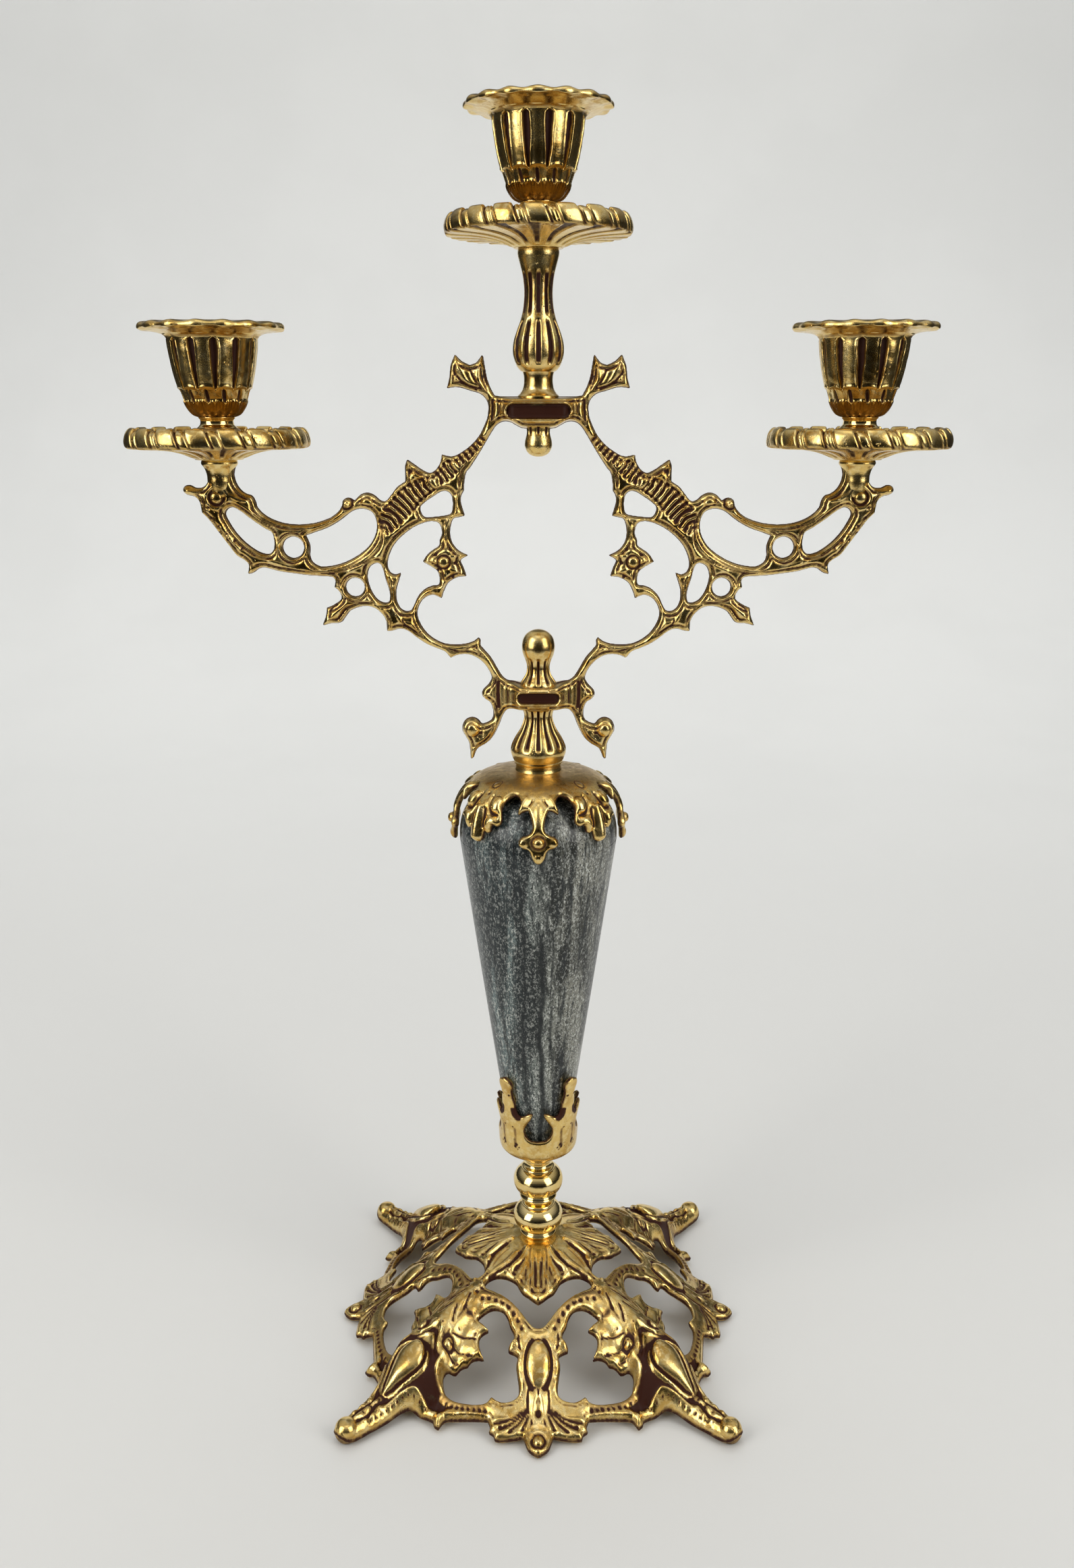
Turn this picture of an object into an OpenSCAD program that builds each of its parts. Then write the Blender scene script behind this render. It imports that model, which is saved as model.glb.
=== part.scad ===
// Three-light tabletop candelabra: openwork brass base, turned brass knobs, a tapered
// marble stem, and a cast openwork branch that carries a socket at each end and one on top.
// Millimetres. Z is up, X runs along the branch. The origin is on the table, on the stem axis.

/* [Base] */
// Height of the base casting at its centre boss
base_h = 35; // [28:0.5:45]
// Distance from the axis to each ball foot
foot_radius = 84; // [70:0.5:100]
// Radius of each ball foot
foot_ball_r = 3.6; // [2.5:0.1:5]
// Wall thickness of the base casting
base_wall = 3; // [2:0.1:5]

/* [Turned knobs] */
// Height of the lower turned knob
lower_knob_h = 13.6; // [10:0.1:20]
// Height of the upper turned knob
upper_knob_h = 14; // [10:0.1:20]
// Largest radius of each knob
knob_r = 8.4; // [6:0.1:12]

/* [Marble stem] */
// Height from the leaf cup seat to the top of the marble
marble_h = 125.2; // [90:0.2:160]
// Radius at the bottom of the marble
marble_bottom_r = 9.4; // [7:0.1:14]
// Largest radius, near the top of the marble
marble_top_r = 24.9; // [18:0.1:32]

/* [Branch] */
// Distance from the stem axis to each side socket
arm_reach = 94; // [85:0.5:105]
// Height of the side sockets above the branch foot
arm_rise = 97; // [90:0.5:110]
// Height of the centre socket above the branch foot
centre_rise = 155.2; // [140:0.2:170]
// Thickness of the openwork
openwork_t = 4.6; // [3:0.1:8]

/* [Lights] */
// Radius of the candle bore
candle_r = 11; // [10:0.1:14]
// Depth of the straight part of the candle bore
candle_depth = 9.5; // [6:0.5:14]
// Outside radius of the drip pan
pan_r = 27.1; // [20:0.1:35]
// Number of lobes around the drip pan
pan_lobes = 18; // [10:1:28]
// Outside radius of the flange around the candle cup
flange_r = 21; // [16:0.1:28]
// Number of grooves around the candle cup
cup_grooves = 12; // [8:1:18]

/* [Threaded parts] */
// Radius of the rod that clamps the column together
rod_r = 2.5; // [2:0.1:4]
// Radius of the screw under each candle cup
screw_r = 2; // [1.5:0.1:3]
// Radial running clearance around rods and screws
running = 0.06; // [0.02:0.01:0.1]

/* [Hidden] */
$fn = 48;
base_under = base_h - 4;
washer_t = 1.5;
nut_t = 5;
knob_split = base_h + lower_knob_h;
calyx_z = knob_split + upper_knob_h;
marble_z = calyx_z + 7.4;
marble_end = marble_z + marble_h;
crown_t = 1.8;
branch_z = marble_end + crown_t;
arm_z = branch_z + arm_rise;
top_z = branch_z + centre_rise;
flange_top = 38.5;
cup_z = 12.3;
rod_low = base_under - washer_t - nut_t - 1.5;
rod_high = branch_z + 16;
rod_hole = rod_r + running;
screw_hole = screw_r + running;
screw_len = 9;
head_z = cup_z + 1.9;

// ---- flat strands: a smooth curve through [x, y, half width] stations ----

function curve(a, b, c, d, t) =
    0.5 * (2 * b + (c - a) * t + (2 * a - 5 * b + 4 * c - d) * t * t
    + (3 * b - a - 3 * c + d) * t * t * t);

function smooth(p, n) = [
    for (i = [0 : len(p) - 2])
        for (k = [0 : n - 1])
            curve(p[max(i - 1, 0)], p[i], p[i + 1], p[min(i + 2, len(p) - 1)], k / n),
    p[len(p) - 1]
];

function heading(s, i) =
    let (d = s[min(i + 1, len(s) - 1)] - s[max(i - 1, 0)])
    [d[0], d[1]] / norm([d[0], d[1]]);

function side_line(s, sign) = [
    for (i = [0 : len(s) - 1])
        let (h = heading(s, i))
        [s[i][0] - sign * h[1] * s[i][2], s[i][1] + sign * h[0] * s[i][2]]
];

function backwards(v) = [for (i = [len(v) - 1 : -1 : 0]) v[i]];

module strand(p, n = 3) {
    s = smooth(p, n);
    last = s[len(s) - 1];
    polygon(concat(side_line(s, 1), backwards(side_line(s, -1))));
    translate([s[0][0], s[0][1]])
        circle(r = s[0][2], $fn = 13);
    translate([last[0], last[1]])
        circle(r = last[2], $fn = 13);
}

module dot(x, y, r) {
    translate([x, y])
        circle(r = r, $fn = 24);
}

module both_sides() {
    children();
    mirror([1, 0])
        children();
}

// ---- base casting ----

// Heights of the casting's upper face against radius: over the flower and web, and over the legs.
web_line = [[0, base_h], [8.2, base_h], [9.5, 33.4], [20, 31], [30, 27.3], [34.5, 24], [40, 20.5],
    [45, 16.8], [50, 12.5], [55, 8.3], [58, 6], [62, 4.4], [69, 3.6]];
leg_line = [[18, 31.5], [26, 30], [30, 28.5], [35, 26.8], [40, 24.3], [44, 21.7], [48, 19.2],
    [55, 16.5], [60, 14], [65, 10.5], [70, 7.7], [75, 6.4], [80, 6], [86, 6]];

leg_under = [[86, 2.2], [76, 2.2], [68, 1.8], [62, 1.4], [56, 3], [50, 7.4], [45, 11.9], [40, 15.8], [34, 20.4],
    [26, 24.6], [18, 27]];

function dropped(line, t) = [for (i = [len(line) - 1 : -1 : 0]) [line[i][0], max(line[i][1] - t, 0.6)]];

function raised(line, t) = [for (p = line) [p[0], p[1] + t]];

module shell(line, t) {
    rotate_extrude($fn = 72)
        polygon(concat(line, dropped(line, t)));
}

// One pointed lobe of the flower, from the diagonal on one side to the diagonal on the other.
flower_edge = [[3.3, 26.3], [5.2, 24.4], [6.8, 22.4], [8.8, 20.1], [11.2, 18.7], [14.2, 18.2], [16.8, 19.2],
    [20, 21], [21, 20]];

module flower_lobe() {
    polygon(concat([[0, 28.9]], flower_edge, [[0, -1]], backwards([for (q = flower_edge) [-q[0], q[1]]])));
}

module web_centre() {
    // baluster, then the middle of the palmette
    strand([[0, 37.6, 3], [0, 41, 5.6], [0, 45, 6.9], [0, 48.6, 6.4], [0, 51.4, 5.3], [0, 55, 6.3],
        [0, 60, 4.9], [0, 63.4, 3.6], [0, 65.6, 2.6], [0, 67.4, 1.1]]);
}

module web_half() {
    // arc from the leg round to the baluster, with its curled nub
    strand([[21, 24, 3], [16, 25.6, 2.2], [11.6, 28, 1.8], [8, 31.4, 1.8], [5.6, 35, 2.2], [4.2, 39, 2.6]]);
    strand([[6.6, 37, 1.6], [8, 39, 1.3], [9.2, 40.6, 0.8]]);
    // palmette lobes
    strand([[2, 54, 4], [6.6, 58, 4], [10.5, 60.2, 2.6], [13.2, 61.3, 1.2]]);
    strand([[5, 54, 2.6], [10, 55.4, 3], [13, 57.2, 2.6], [15, 59, 1.2]]);
    // lower ring out to the leg
    strand([[4, 54.4, 2.6], [12.5, 54.4, 2], [18, 53.8, 1.8], [24, 52.7, 2], [29, 50.8, 2.6], [32.6, 47.8, 3.4]]);
    dot(14.8, 52, 1.2);
    strand([[29.5, 52.5, 1.6], [31, 55, 1.3], [31.6, 56.6, 1]]);
}

module leaf_half() {
    polygon([[20, 20.4], [20.4, 26], [19.6, 29.4], [15.8, 34.6], [18.6, 35.8], [19, 38], [17.2, 42],
        [21.2, 41.4], [24.5, 42.4], [28.6, 43], [30, 45.6], [34, 49], [38, 40], [30, 30.6]]);
}

module leg() {
    strand([[0, 25, 5], [0, 32, 6], [0, 42, 7.5], [0, 50, 9.5], [0, 56, 10.8], [0, 62, 9.4],
        [0, 67, 7], [0, 72, 5.6], [0, 77, 4.6], [0, 81, 3.7], [0, foot_radius, 3.2]]);
}

module four_times(first = 0) {
    for (a = [first : 90 : first + 270])
        rotate(a)
            children();
}

// Closes hairline gaps where strands meet.
module merged() {
    offset(delta = -0.08)
        offset(delta = 0.08)
            children();
}

module base_casting() {
    color([0.72, 0.56, 0.25])
        difference() {
            union() {
                base_plates();
                base_feet();
            }
            translate([0, 0, base_under - 12])
                cylinder(r = 9, h = 12);
            cylinder(r = rod_hole, h = 60);
        }
}

module base_plates() {
    intersection() {
        shell(web_line, base_wall + 0.4);
        linear_extrude(base_h + 2)
            merged()
                four_times() {
                    flower_lobe();
                    web_centre();
                    both_sides()
                        web_half();
                }
    }
    intersection() {
        rotate_extrude($fn = 72)
            polygon(concat(leg_line, leg_under));
        linear_extrude(base_h + 2)
            merged() {
                four_times(45)
                    leg();
                four_times()
                    both_sides()
                        leaf_half();
            }
    }
    // raised bosses: a teardrop on each leg, an oval on each baluster
    intersection() {
        shell(raised(leg_line, 1.8), base_wall);
        linear_extrude(base_h + 2)
            for (a = [45 : 90 : 315])
                rotate(a - 90)
                    strand([[0, 52, 3], [0, 56, 5], [0, 60, 4.2], [0, 66, 1.6]]);
    }
    intersection() {
        shell(raised(web_line, 1.4), base_wall);
        linear_extrude(base_h + 2)
            for (a = [0 : 90 : 270])
                rotate(a)
                    strand([[0, 40.6, 2.4], [0, 45, 4.2], [0, 49, 2.4]]);
    }
    translate([0, 0, base_under])
        cylinder(r = 8.2, h = base_h - base_under);
}

module base_feet() {
    for (a = [45 : 90 : 315])
        rotate(a)
            intersection() {
                translate([foot_radius, 0, foot_ball_r - 0.5])
                    sphere(r = foot_ball_r, $fn = 36);
                translate([foot_radius - 10, -10, 0])
                    cube([20, 20, 20]);
            }
}

// ---- clamped column ----

module base_washer() {
    color([0.55, 0.5, 0.42])
        translate([0, 0, base_under - washer_t])
            difference() {
                cylinder(r = 7.5, h = washer_t);
                translate([0, 0, -1])
                    cylinder(r = rod_hole + 0.2, h = washer_t + 2);
            }
}

module base_nut() {
    color([0.6, 0.55, 0.45])
        translate([0, 0, base_under - washer_t - nut_t])
            difference() {
                cylinder(r = 5.2, h = nut_t, $fn = 6);
                translate([0, 0, -1])
                    cylinder(r = rod_hole, h = nut_t + 2);
            }
}

module tie_rod() {
    color([0.62, 0.6, 0.55])
        translate([0, 0, rod_low])
            cylinder(r = rod_r, h = rod_high - rod_low);
}

module turned(profile, hole) {
    difference() {
        rotate_extrude($fn = 72)
            polygon(profile);
        translate([0, 0, -1])
            cylinder(r = hole, h = 400);
    }
}

// Half outline of one bead with a fillet above and below; z runs from 0 to h.
function bead(h, zc, r, neck) = concat(
    [[0, 0], [5.6, 0], [6.4, 0.5]],
    [for (a = [-64 : 8 : 64]) [r - 5.2 + 5.2 * cos(a), zc + 5.2 * sin(a)]],
    [[5.4, zc + 4.5], [5.6, zc + 5.1], [5.1, zc + 5.6], [neck + 0.2, zc + 6], [neck, (zc + 6 + h) / 2],
    [neck + 0.3, h], [0, h]]);

module lower_knob() {
    color([0.78, 0.6, 0.24])
        translate([0, 0, base_h])
            turned(bead(lower_knob_h, 6.4, knob_r, 3.9), rod_hole);
}

module upper_knob() {
    color([0.78, 0.6, 0.24])
        translate([0, 0, knob_split])
            turned(bead(upper_knob_h, 6.6, knob_r, 4.1), rod_hole);
}

// Leaf cup: a turned foot and floor, with four leaves standing round the marble.
module calyx_cup() {
    color([0.72, 0.56, 0.25])
        translate([0, 0, calyx_z]) {
            turned([[0, 0], [4.4, 0], [5, 1.2], [6.2, 2.6], [7.2, 3.4], [7.6, 4.4], [7.2, 5.2],
                [8.6, 6.6], [9.2, 7.4], [0, 7.4]], rod_hole);
            for (a = [45 : 90 : 315])
                rotate(a)
                    calyx_leaf();
        }
}

module calyx_leaf() {
    intersection() {
        rotate_extrude($fn = 72)
            polygon([[6.4, 4.8], [8, 7], [9.1, 7.4], [9.7, 8], [10.2, 12], [10.9, 17], [12, 24], [13.2, 31], [14.4, 35],
                [17.2, 35], [16.6, 31], [14.8, 24], [13.6, 17], [12.6, 12], [11.6, 7.4], [9.4, 4.8]]);
        rotate([90, 0, 90])
            linear_extrude(30)
                both_sides()
                    polygon([[0, 4], [7.4, 4], [8, 8], [6.8, 10.4], [3.6, 12.5], [3, 16], [4.6, 18.6],
                        [6.6, 20.6], [4.4, 21.4], [3, 23], [3.2, 27], [2, 31], [0, 34.5]]);
    }
}

module marble_stem() {
    color([0.42, 0.47, 0.45])
        translate([0, 0, marble_z])
            turned([[0, 0], [marble_bottom_r - 0.4, 0], [marble_bottom_r, 0.6], [13.6, 29],
                [marble_top_r - 0.6, 104.5], [marble_top_r, 108.6], [marble_top_r - 0.2, 112],
                [marble_top_r - 1, 115.4], [marble_top_r - 2.6, 118.6], [marble_top_r - 5, 121.4],
                [marble_top_r - 8, 123.6], [marble_top_r - 11.4, 124.9], [marble_top_r - 13, marble_h],
                [0, marble_h]], rod_r + 1);
}

// Crown cap: a low dome on the marble with a drop hanging over each side.
module crown_cap() {
    color([0.72, 0.56, 0.25]) {
        translate([0, 0, marble_end])
            turned([[0, 0], [12, 0], [13.6, -0.1], [17, -1.4], [20.1, -3.6], [22.6, -6.4], [24.4, -10],
                [25.6, -10], [25.2, -7.4], [23.6, -4.2], [21, -1.4], [17.4, 0.6], [13.4, 1.5],
                [10, crown_t], [0, crown_t]], rod_hole);
        for (a = [0 : 90 : 270])
            rotate(a)
                crown_pendant();
        for (a = [45 : 90 : 315])
            rotate(a)
                crown_leaf();
    }
}

module crown_pendant() {
    translate([25.05, 0, marble_end - 8])
        rotate([90, 0, 90])
            linear_extrude(2.2) {
                both_sides()
                    polygon([[0, 4], [3.6, 4], [4.8, 1.8], [2.2, 0.6], [2, -1], [5.2, -4.4], [2, -7.4],
                        [1.1, -9], [0, -10.4]]);
            }
}

module crown_leaf() {
    translate([25.05, 0, marble_end - 7])
        rotate([90, 0, 90])
            linear_extrude(2)
                both_sides()
                    polygon([[0, 4], [5.4, 3.4], [6.8, 0.6], [5, -1.4], [3.6, -1], [2.8, -3.4], [0, -6.4]]);
}

// ---- branch casting ----

module horn() {
    // thick curled band from the upper bar out to the middle of the arm
    strand([[-9, 307.5, 3], [-13.5, 303.5, 2], [-17.5, 297.6, 2.5], [-23, 291.8, 3], [-29, 288.2, 2.9],
        [-35.8, 285, 4.4], [-41.4, 279, 5], [-45.4, 272.6, 3.2], [-46.4, 267.6, 1.9]]);
    strand([[-35, 289, 2], [-37, 291.6, 1.4], [-38.3, 293.6, 0.5]]);
    strand([[-23.5, 293, 2], [-26.5, 294.6, 1.2], [-28, 295.2, 0.5]]);
}

module upper_arm() {
    // from the horn over the kidney openings to the socket
    strand([[-44, 281, 3], [-50, 281.8, 2.2], [-54.5, 281, 1.7], [-59, 277.8, 1.8], [-64.5, 275, 1.5],
        [-71.5, 273.8, 1.5], [-77.6, 274.8, 1.7], [-82.6, 277.6, 1.9], [-86.6, 281.2, 2.2], [-90.6, 284.6, 3]]);
    dot(-50.2, 283, 1.4);
    dot(-57, 281.6, 1.2);
    dot(-84.8, 281.8, 1.6);
    strand([[-90, 282, 2.4], [-94, 284, 3.6], [-94, 288, 3.4]]);
}

module lower_arm() {
    // from the middle of the arm out under the socket to the upturned tip
    strand([[-45.6, 265.5, 2], [-50, 265, 2], [-54.4, 262.6, 2.2], [-59.4, 261, 1.8], [-65.5, 261.2, 1.6],
        [-72, 262, 1.8], [-78, 264.2, 2.2], [-84, 264.8, 2.3], [-89, 268, 2.6], [-93.4, 273, 2.8],
        [-97, 278.2, 2.6], [-101, 282, 2], [-104.4, 285, 1]]);
    strand([[-97, 280, 3], [-95.6, 283.4, 3.2]]);
    strand([[-85, 263, 1.6], [-86.8, 261, 0.6]]);
}

module rings() {
    dot(-73.3, 268.5, 5.1);
    strand([[-73.3, 274, 2.2], [-73.3, 263, 2.2]]);
    dot(-55.2, 256.6, 4.6);
    strand([[-54, 260, 2.6], [-56, 263, 2.4]]);
    strand([[-57, 253.5, 3.2], [-60.5, 250, 2.6], [-63.4, 247.4, 1.6], [-64.6, 245.4, 0.6]]);
    strand([[-54, 253, 2.2], [-50.6, 251.4, 1.6], [-46.4, 250, 2.2], [-42, 249.6, 2.2]]);
    strand([[-57, 250.4, 1.6], [-59, 246.8, 0.7]]);
}

module inner_scroll() {
    // slim strand beside the slot, then the lower scroll back to the lower bar
    strand([[-46, 266, 1.7], [-45, 262, 1.1], [-44.6, 257.5, 1], [-43.6, 253, 1.1], [-41.6, 248.6, 2.4],
        [-37.6, 244.8, 3], [-33, 240.8, 1.9], [-27, 238.2, 1.6], [-21, 238, 2.1], [-16.2, 235, 2.3],
        [-12.6, 230.6, 2.4], [-9, 226.4, 3]]);
    strand([[-41, 247, 2.2], [-44, 245.4, 1.4], [-45.2, 243.8, 0.7]]);
    strand([[-19, 238.6, 1.6], [-18.2, 240.6, 0.6]]);
    strand([[-24, 236.6, 1.4], [-26.4, 235.2, 0.5]]);
    strand([[-36, 249, 1.4], [-35.8, 251, 0.6]]);
}

module star_leaf() {
    // strands between the horn and the lower scroll, with the star in the middle
    strand([[-22, 289, 2.4], [-23.4, 283.6, 1.3], [-24.2, 279.6, 1.3], [-27, 275.4, 1.9], [-27.2, 270.4, 1.8],
        [-28.2, 265.2, 3.6], [-28.4, 260, 2.6], [-31.4, 256, 1.7], [-35.6, 253, 1.5], [-39, 249.6, 1.8]]);
    strand([[-26, 276.9, 0.9], [-34, 276.6, 0.8], [-38, 275.6, 1.4]]);
    strand([[-27.4, 265.4, 2.2], [-24, 266.6, 1.2], [-21.6, 266.2, 0.5]]);
    strand([[-27.4, 262.6, 2], [-24, 261, 1.3], [-22, 260.1, 0.5]]);
    strand([[-29, 264.6, 2.4], [-32, 264.6, 1.2], [-34.4, 264.3, 0.5]]);
    strand([[-28, 258, 1.6], [-27.7, 256.2, 0.5]]);
    strand([[-30.6, 256, 1.4], [-29.4, 253.6, 0.5]]);
}

module top_leaf() {
    polygon([[-8, 311.5], [-12, 312], [-14.6, 316.6], [-15.4, 320.4], [-16.1, 323.7], [-19.9, 320.6],
        [-24.1, 323.7], [-25.9, 319.4], [-26.4, 314.2], [-22.1, 314.4], [-17.1, 313], [-14.6, 310.8],
        [-13, 306], [-8, 306]]);
}

module lower_leaf() {
    polygon([[-8, 219], [-10, 218.6], [-14.6, 221.4], [-17.3, 223.8], [-14.6, 226.6], [-11, 230], [-8, 230]]);
    strand([[-8, 220, 2], [-11, 217.6, 1.5], [-15, 214.6, 1.4], [-19, 213.8, 2.2], [-20.6, 213.5, 3]]);
    strand([[-12.6, 216, 1.4], [-15, 210.6, 1.3], [-18.4, 206.6, 1], [-20.8, 203.2, 0.5]]);
}

module side_tracery() {
    difference() {
        union() {
            horn();
            upper_arm();
            lower_arm();
            rings();
            inner_scroll();
            star_leaf();
            top_leaf();
            lower_leaf();
        }
        dot(-73.3, 268.5, 3.2);
        dot(-55.2, 256.6, 2.8);
    }
}

module tracery() {
    merged()
        both_sides()
            side_tracery();
}

// Thicker parts of the casting: the ribbed horn, the ring rims and the bosses.
module high_relief() {
    strand([[-14.5, 302, 1], [-18, 297, 1.6], [-23, 291.8, 2], [-29, 288.2, 1.9], [-35.8, 284.6, 2.8],
        [-41.2, 278.8, 3.2], [-44.8, 272.6, 1.8]]);
    difference() {
        union() {
            dot(-73.3, 268.5, 4.5);
            dot(-55.2, 256.6, 4);
        }
        dot(-73.3, 268.5, 3.5);
        dot(-55.2, 256.6, 3.1);
    }
    dot(-28.3, 264.3, 2.4);
    dot(-95, 283.4, 2.6);
    dot(-20.6, 213.5, 2.4);
    dot(-38.4, 246, 2);
}

module bar(half, z0, z1) {
    translate([-half, -3.6, z0])
        cube([2 * half, 7.2, z1 - z0]);
}

module bar_recess(half, z0, z1) {
    r = (z1 - z0) / 2;
    for (y = [-3.7, 2.9])
        translate([0, y + 0.8, (z0 + z1) / 2])
            rotate([90, 0, 0])
                linear_extrude(0.8) {
                    translate([-half + r, -r])
                        square([2 * half - 2 * r, 2 * r]);
                    dot(half - r, 0, r);
                    dot(r - half, 0, r);
                }
}

module spindle(profile) {
    rotate_extrude($fn = 60)
        polygon(profile);
}

module branch_centre() {
    // lower stem, its vase and foot
    spindle([[0, branch_z], [7.9, branch_z], [7.9, 198.4], [7, 200], [7.5, 203], [8.6, 206], [7.6, 209.6],
        [5, 213.4], [4.4, 217], [5, 220], [0, 220]]);
    bar(10, 219, 226.5);
    // bud above the lower bar
    spindle([[0, 226], [6, 226], [4.2, 228.4], [3.6, 231], [3.8, 234.4], [5, 238], [5, 240.6], [3.8, 243],
        [0, 244.2]]);
    // bud below the upper bar
    spindle([[0, 294.8], [2.4, 295.6], [4, 298], [3.6, 301], [3.4, 302.6], [5, 305], [0, 305]]);
    bar(12, 304.5, 312);
    // upper stem with its bulb, up to the centre socket
    spindle([[0, 311], [6.4, 311], [4.4, 313.6], [3.95, 316], [4.6, 318], [5.4, 319], [5, 320], [7, 322.6],
        [7.5, 325.4], [6.6, 329.4], [4.9, 333.6], [4, 340.6], [4.6, 347], [5.8, 350.4], [5.8, top_z], [0, top_z]]);
}

module side_socket() {
    translate([arm_reach, 0, 0])
        spindle([[0, arm_z - 11], [3.4, arm_z - 10.6], [3.6, arm_z - 7], [3.8, arm_z - 4.6], [4.6, arm_z - 2.4],
            [5.3, arm_z - 0.8], [5.3, arm_z], [0, arm_z]]);
}

module branch_casting() {
    color([0.7, 0.53, 0.22])
        difference() {
            union() {
                rotate([90, 0, 0])
                    linear_extrude(openwork_t, center = true)
                        tracery();
                rotate([90, 0, 0])
                    linear_extrude(openwork_t + 2, center = true)
                        both_sides()
                            high_relief();
                branch_centre();
                side_socket();
                mirror([1, 0, 0])
                    side_socket();
            }
            bar_recess(9.5, 305.5, 309.8);
            bar_recess(6.5, 220.5, 223.6);
            translate([0, 0, branch_z - 1])
                cylinder(r = rod_hole, h = 18);
            for (p = [[-arm_reach, arm_z], [0, top_z], [arm_reach, arm_z]])
                translate([p[0], 0, p[1] - screw_len - 0.5])
                    cylinder(r = screw_hole, h = screw_len + 1);
        }
}

// ---- one light: pan, collar, cup and the screw that holds them; z = 0 is the socket seat ----

function lobed(r, depth, n) = [
    for (a = [0 : 360 / (n * 8) : 359.9])
        let (q = r - depth * pow(abs(sin(n * a / 2)), 4))
        [q * sin(a), q * cos(a)]
];

module pan() {
    color([0.72, 0.56, 0.25])
        intersection() {
            turned([[0, 0], [9.4, 0], [9.8, 0.6], [13, 2.8], [19, 3.4], [25.6, 3.6], [pan_r - 0.3, 5],
                [pan_r, 8.6], [pan_r - 0.6, 9.5], [pan_r - 2, 9.4], [pan_r - 2.6, 8.2], [24.4, 6.6],
                [20, 5.4], [12, 4.8], [8, 6.2], [6.4, 7.8], [6, 9], [0, 9]], screw_hole);
            linear_extrude(12)
                polygon(lobed(pan_r, 1.1, pan_lobes));
        }
}

module collar() {
    color([0.78, 0.6, 0.24])
        turned([[0, 9], [5.6, 9], [5.4, 9.6], [4.8, 10.2], [4.8, 11.4], [5.3, 12], [5.3, cup_z],
            [0, cup_z]], screw_hole);
}

module cup_body() {
    turned([[0, cup_z], [5.5, cup_z], [9, 15.7], [9.4, 16.4], [10.8, 21], [11.9, 26], [12.9, 33.6],
        [14, 35], [18, 35.8], [flange_r, 36.2], [flange_r, 37.4], [flange_r - 1, flange_top],
        [0, flange_top]], screw_hole);
}

module cup_grooves_round() {
    for (a = [0 : 360 / cup_grooves : 359])
        rotate(a)
            translate([10.95, 0, 18.4])
                rotate([0, 10.4, 0]) {
                    cylinder(r = 1.35, h = 14, $fn = 20);
                    translate([0, 0, 14])
                        sphere(r = 1.35, $fn = 20);
                }
}

module cup() {
    color([0.74, 0.57, 0.24])
        difference() {
            intersection() {
                cup_body();
                linear_extrude(flange_top + 2)
                    polygon(lobed(flange_r, 0.5, 16));
            }
            cup_grooves_round();
            translate([0, 0, flange_top - candle_depth])
                cylinder(r = candle_r, h = candle_depth + 2);
            translate([0, 0, 17.2])
                cylinder(r1 = 7.9, r2 = candle_r, h = flange_top - candle_depth - 17.2);
            translate([0, 0, head_z])
                cylinder(r = 4.6, h = flange_top - head_z);
        }
}

module screw() {
    color([0.62, 0.6, 0.55])
        difference() {
            union() {
                translate([0, 0, -screw_len])
                    cylinder(r = screw_r, h = head_z + screw_len);
                translate([0, 0, head_z])
                    cylinder(r = 4, h = 2.4);
            }
            translate([-5, -0.5, head_z + 1.4])
                cube([10, 1, 2]);
        }
}

module on_left() {
    translate([-arm_reach, 0, arm_z])
        children();
}

module on_top() {
    translate([0, 0, top_z])
        children();
}

module on_right() {
    translate([arm_reach, 0, arm_z])
        children();
}

module drip_pan_left() {
    on_left()
        pan();
}

module drip_pan_centre() {
    on_top()
        pan();
}

module drip_pan_right() {
    on_right()
        pan();
}

module neck_collar_left() {
    on_left()
        collar();
}

module neck_collar_centre() {
    on_top()
        collar();
}

module neck_collar_right() {
    on_right()
        collar();
}

module candle_cup_left() {
    on_left()
        cup();
}

module candle_cup_centre() {
    on_top()
        cup();
}

module candle_cup_right() {
    on_right()
        cup();
}

module cup_screw_left() {
    on_left()
        screw();
}

module cup_screw_centre() {
    on_top()
        screw();
}

module cup_screw_right() {
    on_right()
        screw();
}

base_casting();
base_washer();
base_nut();
tie_rod();
lower_knob();
upper_knob();
calyx_cup();
marble_stem();
crown_cap();
branch_casting();
drip_pan_left();
drip_pan_centre();
drip_pan_right();
neck_collar_left();
neck_collar_centre();
neck_collar_right();
candle_cup_left();
candle_cup_centre();
candle_cup_right();
cup_screw_left();
cup_screw_centre();
cup_screw_right();
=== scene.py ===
"""Three-light tabletop candelabra: openwork brass castings, turned brass, a tapered marble stem.

Shapes are worked out in millimetres and scaled once, when a mesh is made.
"""

import math

import bpy
import numpy as np
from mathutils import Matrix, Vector


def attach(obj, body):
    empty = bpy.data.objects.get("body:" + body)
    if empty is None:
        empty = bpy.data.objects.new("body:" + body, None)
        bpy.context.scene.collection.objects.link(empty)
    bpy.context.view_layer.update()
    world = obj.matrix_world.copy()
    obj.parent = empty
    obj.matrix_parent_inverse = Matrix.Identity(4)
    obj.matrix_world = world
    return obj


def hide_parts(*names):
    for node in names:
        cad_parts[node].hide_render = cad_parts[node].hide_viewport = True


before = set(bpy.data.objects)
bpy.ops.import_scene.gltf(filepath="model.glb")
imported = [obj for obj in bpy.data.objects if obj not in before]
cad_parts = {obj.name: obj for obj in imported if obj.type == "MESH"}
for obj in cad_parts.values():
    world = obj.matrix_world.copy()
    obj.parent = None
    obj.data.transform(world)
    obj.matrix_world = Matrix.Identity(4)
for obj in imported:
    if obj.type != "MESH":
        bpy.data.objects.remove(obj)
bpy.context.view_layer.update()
MM = 0.001
STAND = "stand"
# the height maps: cell size, and the distance counted as far from any edge
CELL = 0.2
FAR = 4.0


# ---------------------------------------------------------------- curves and fields

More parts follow.
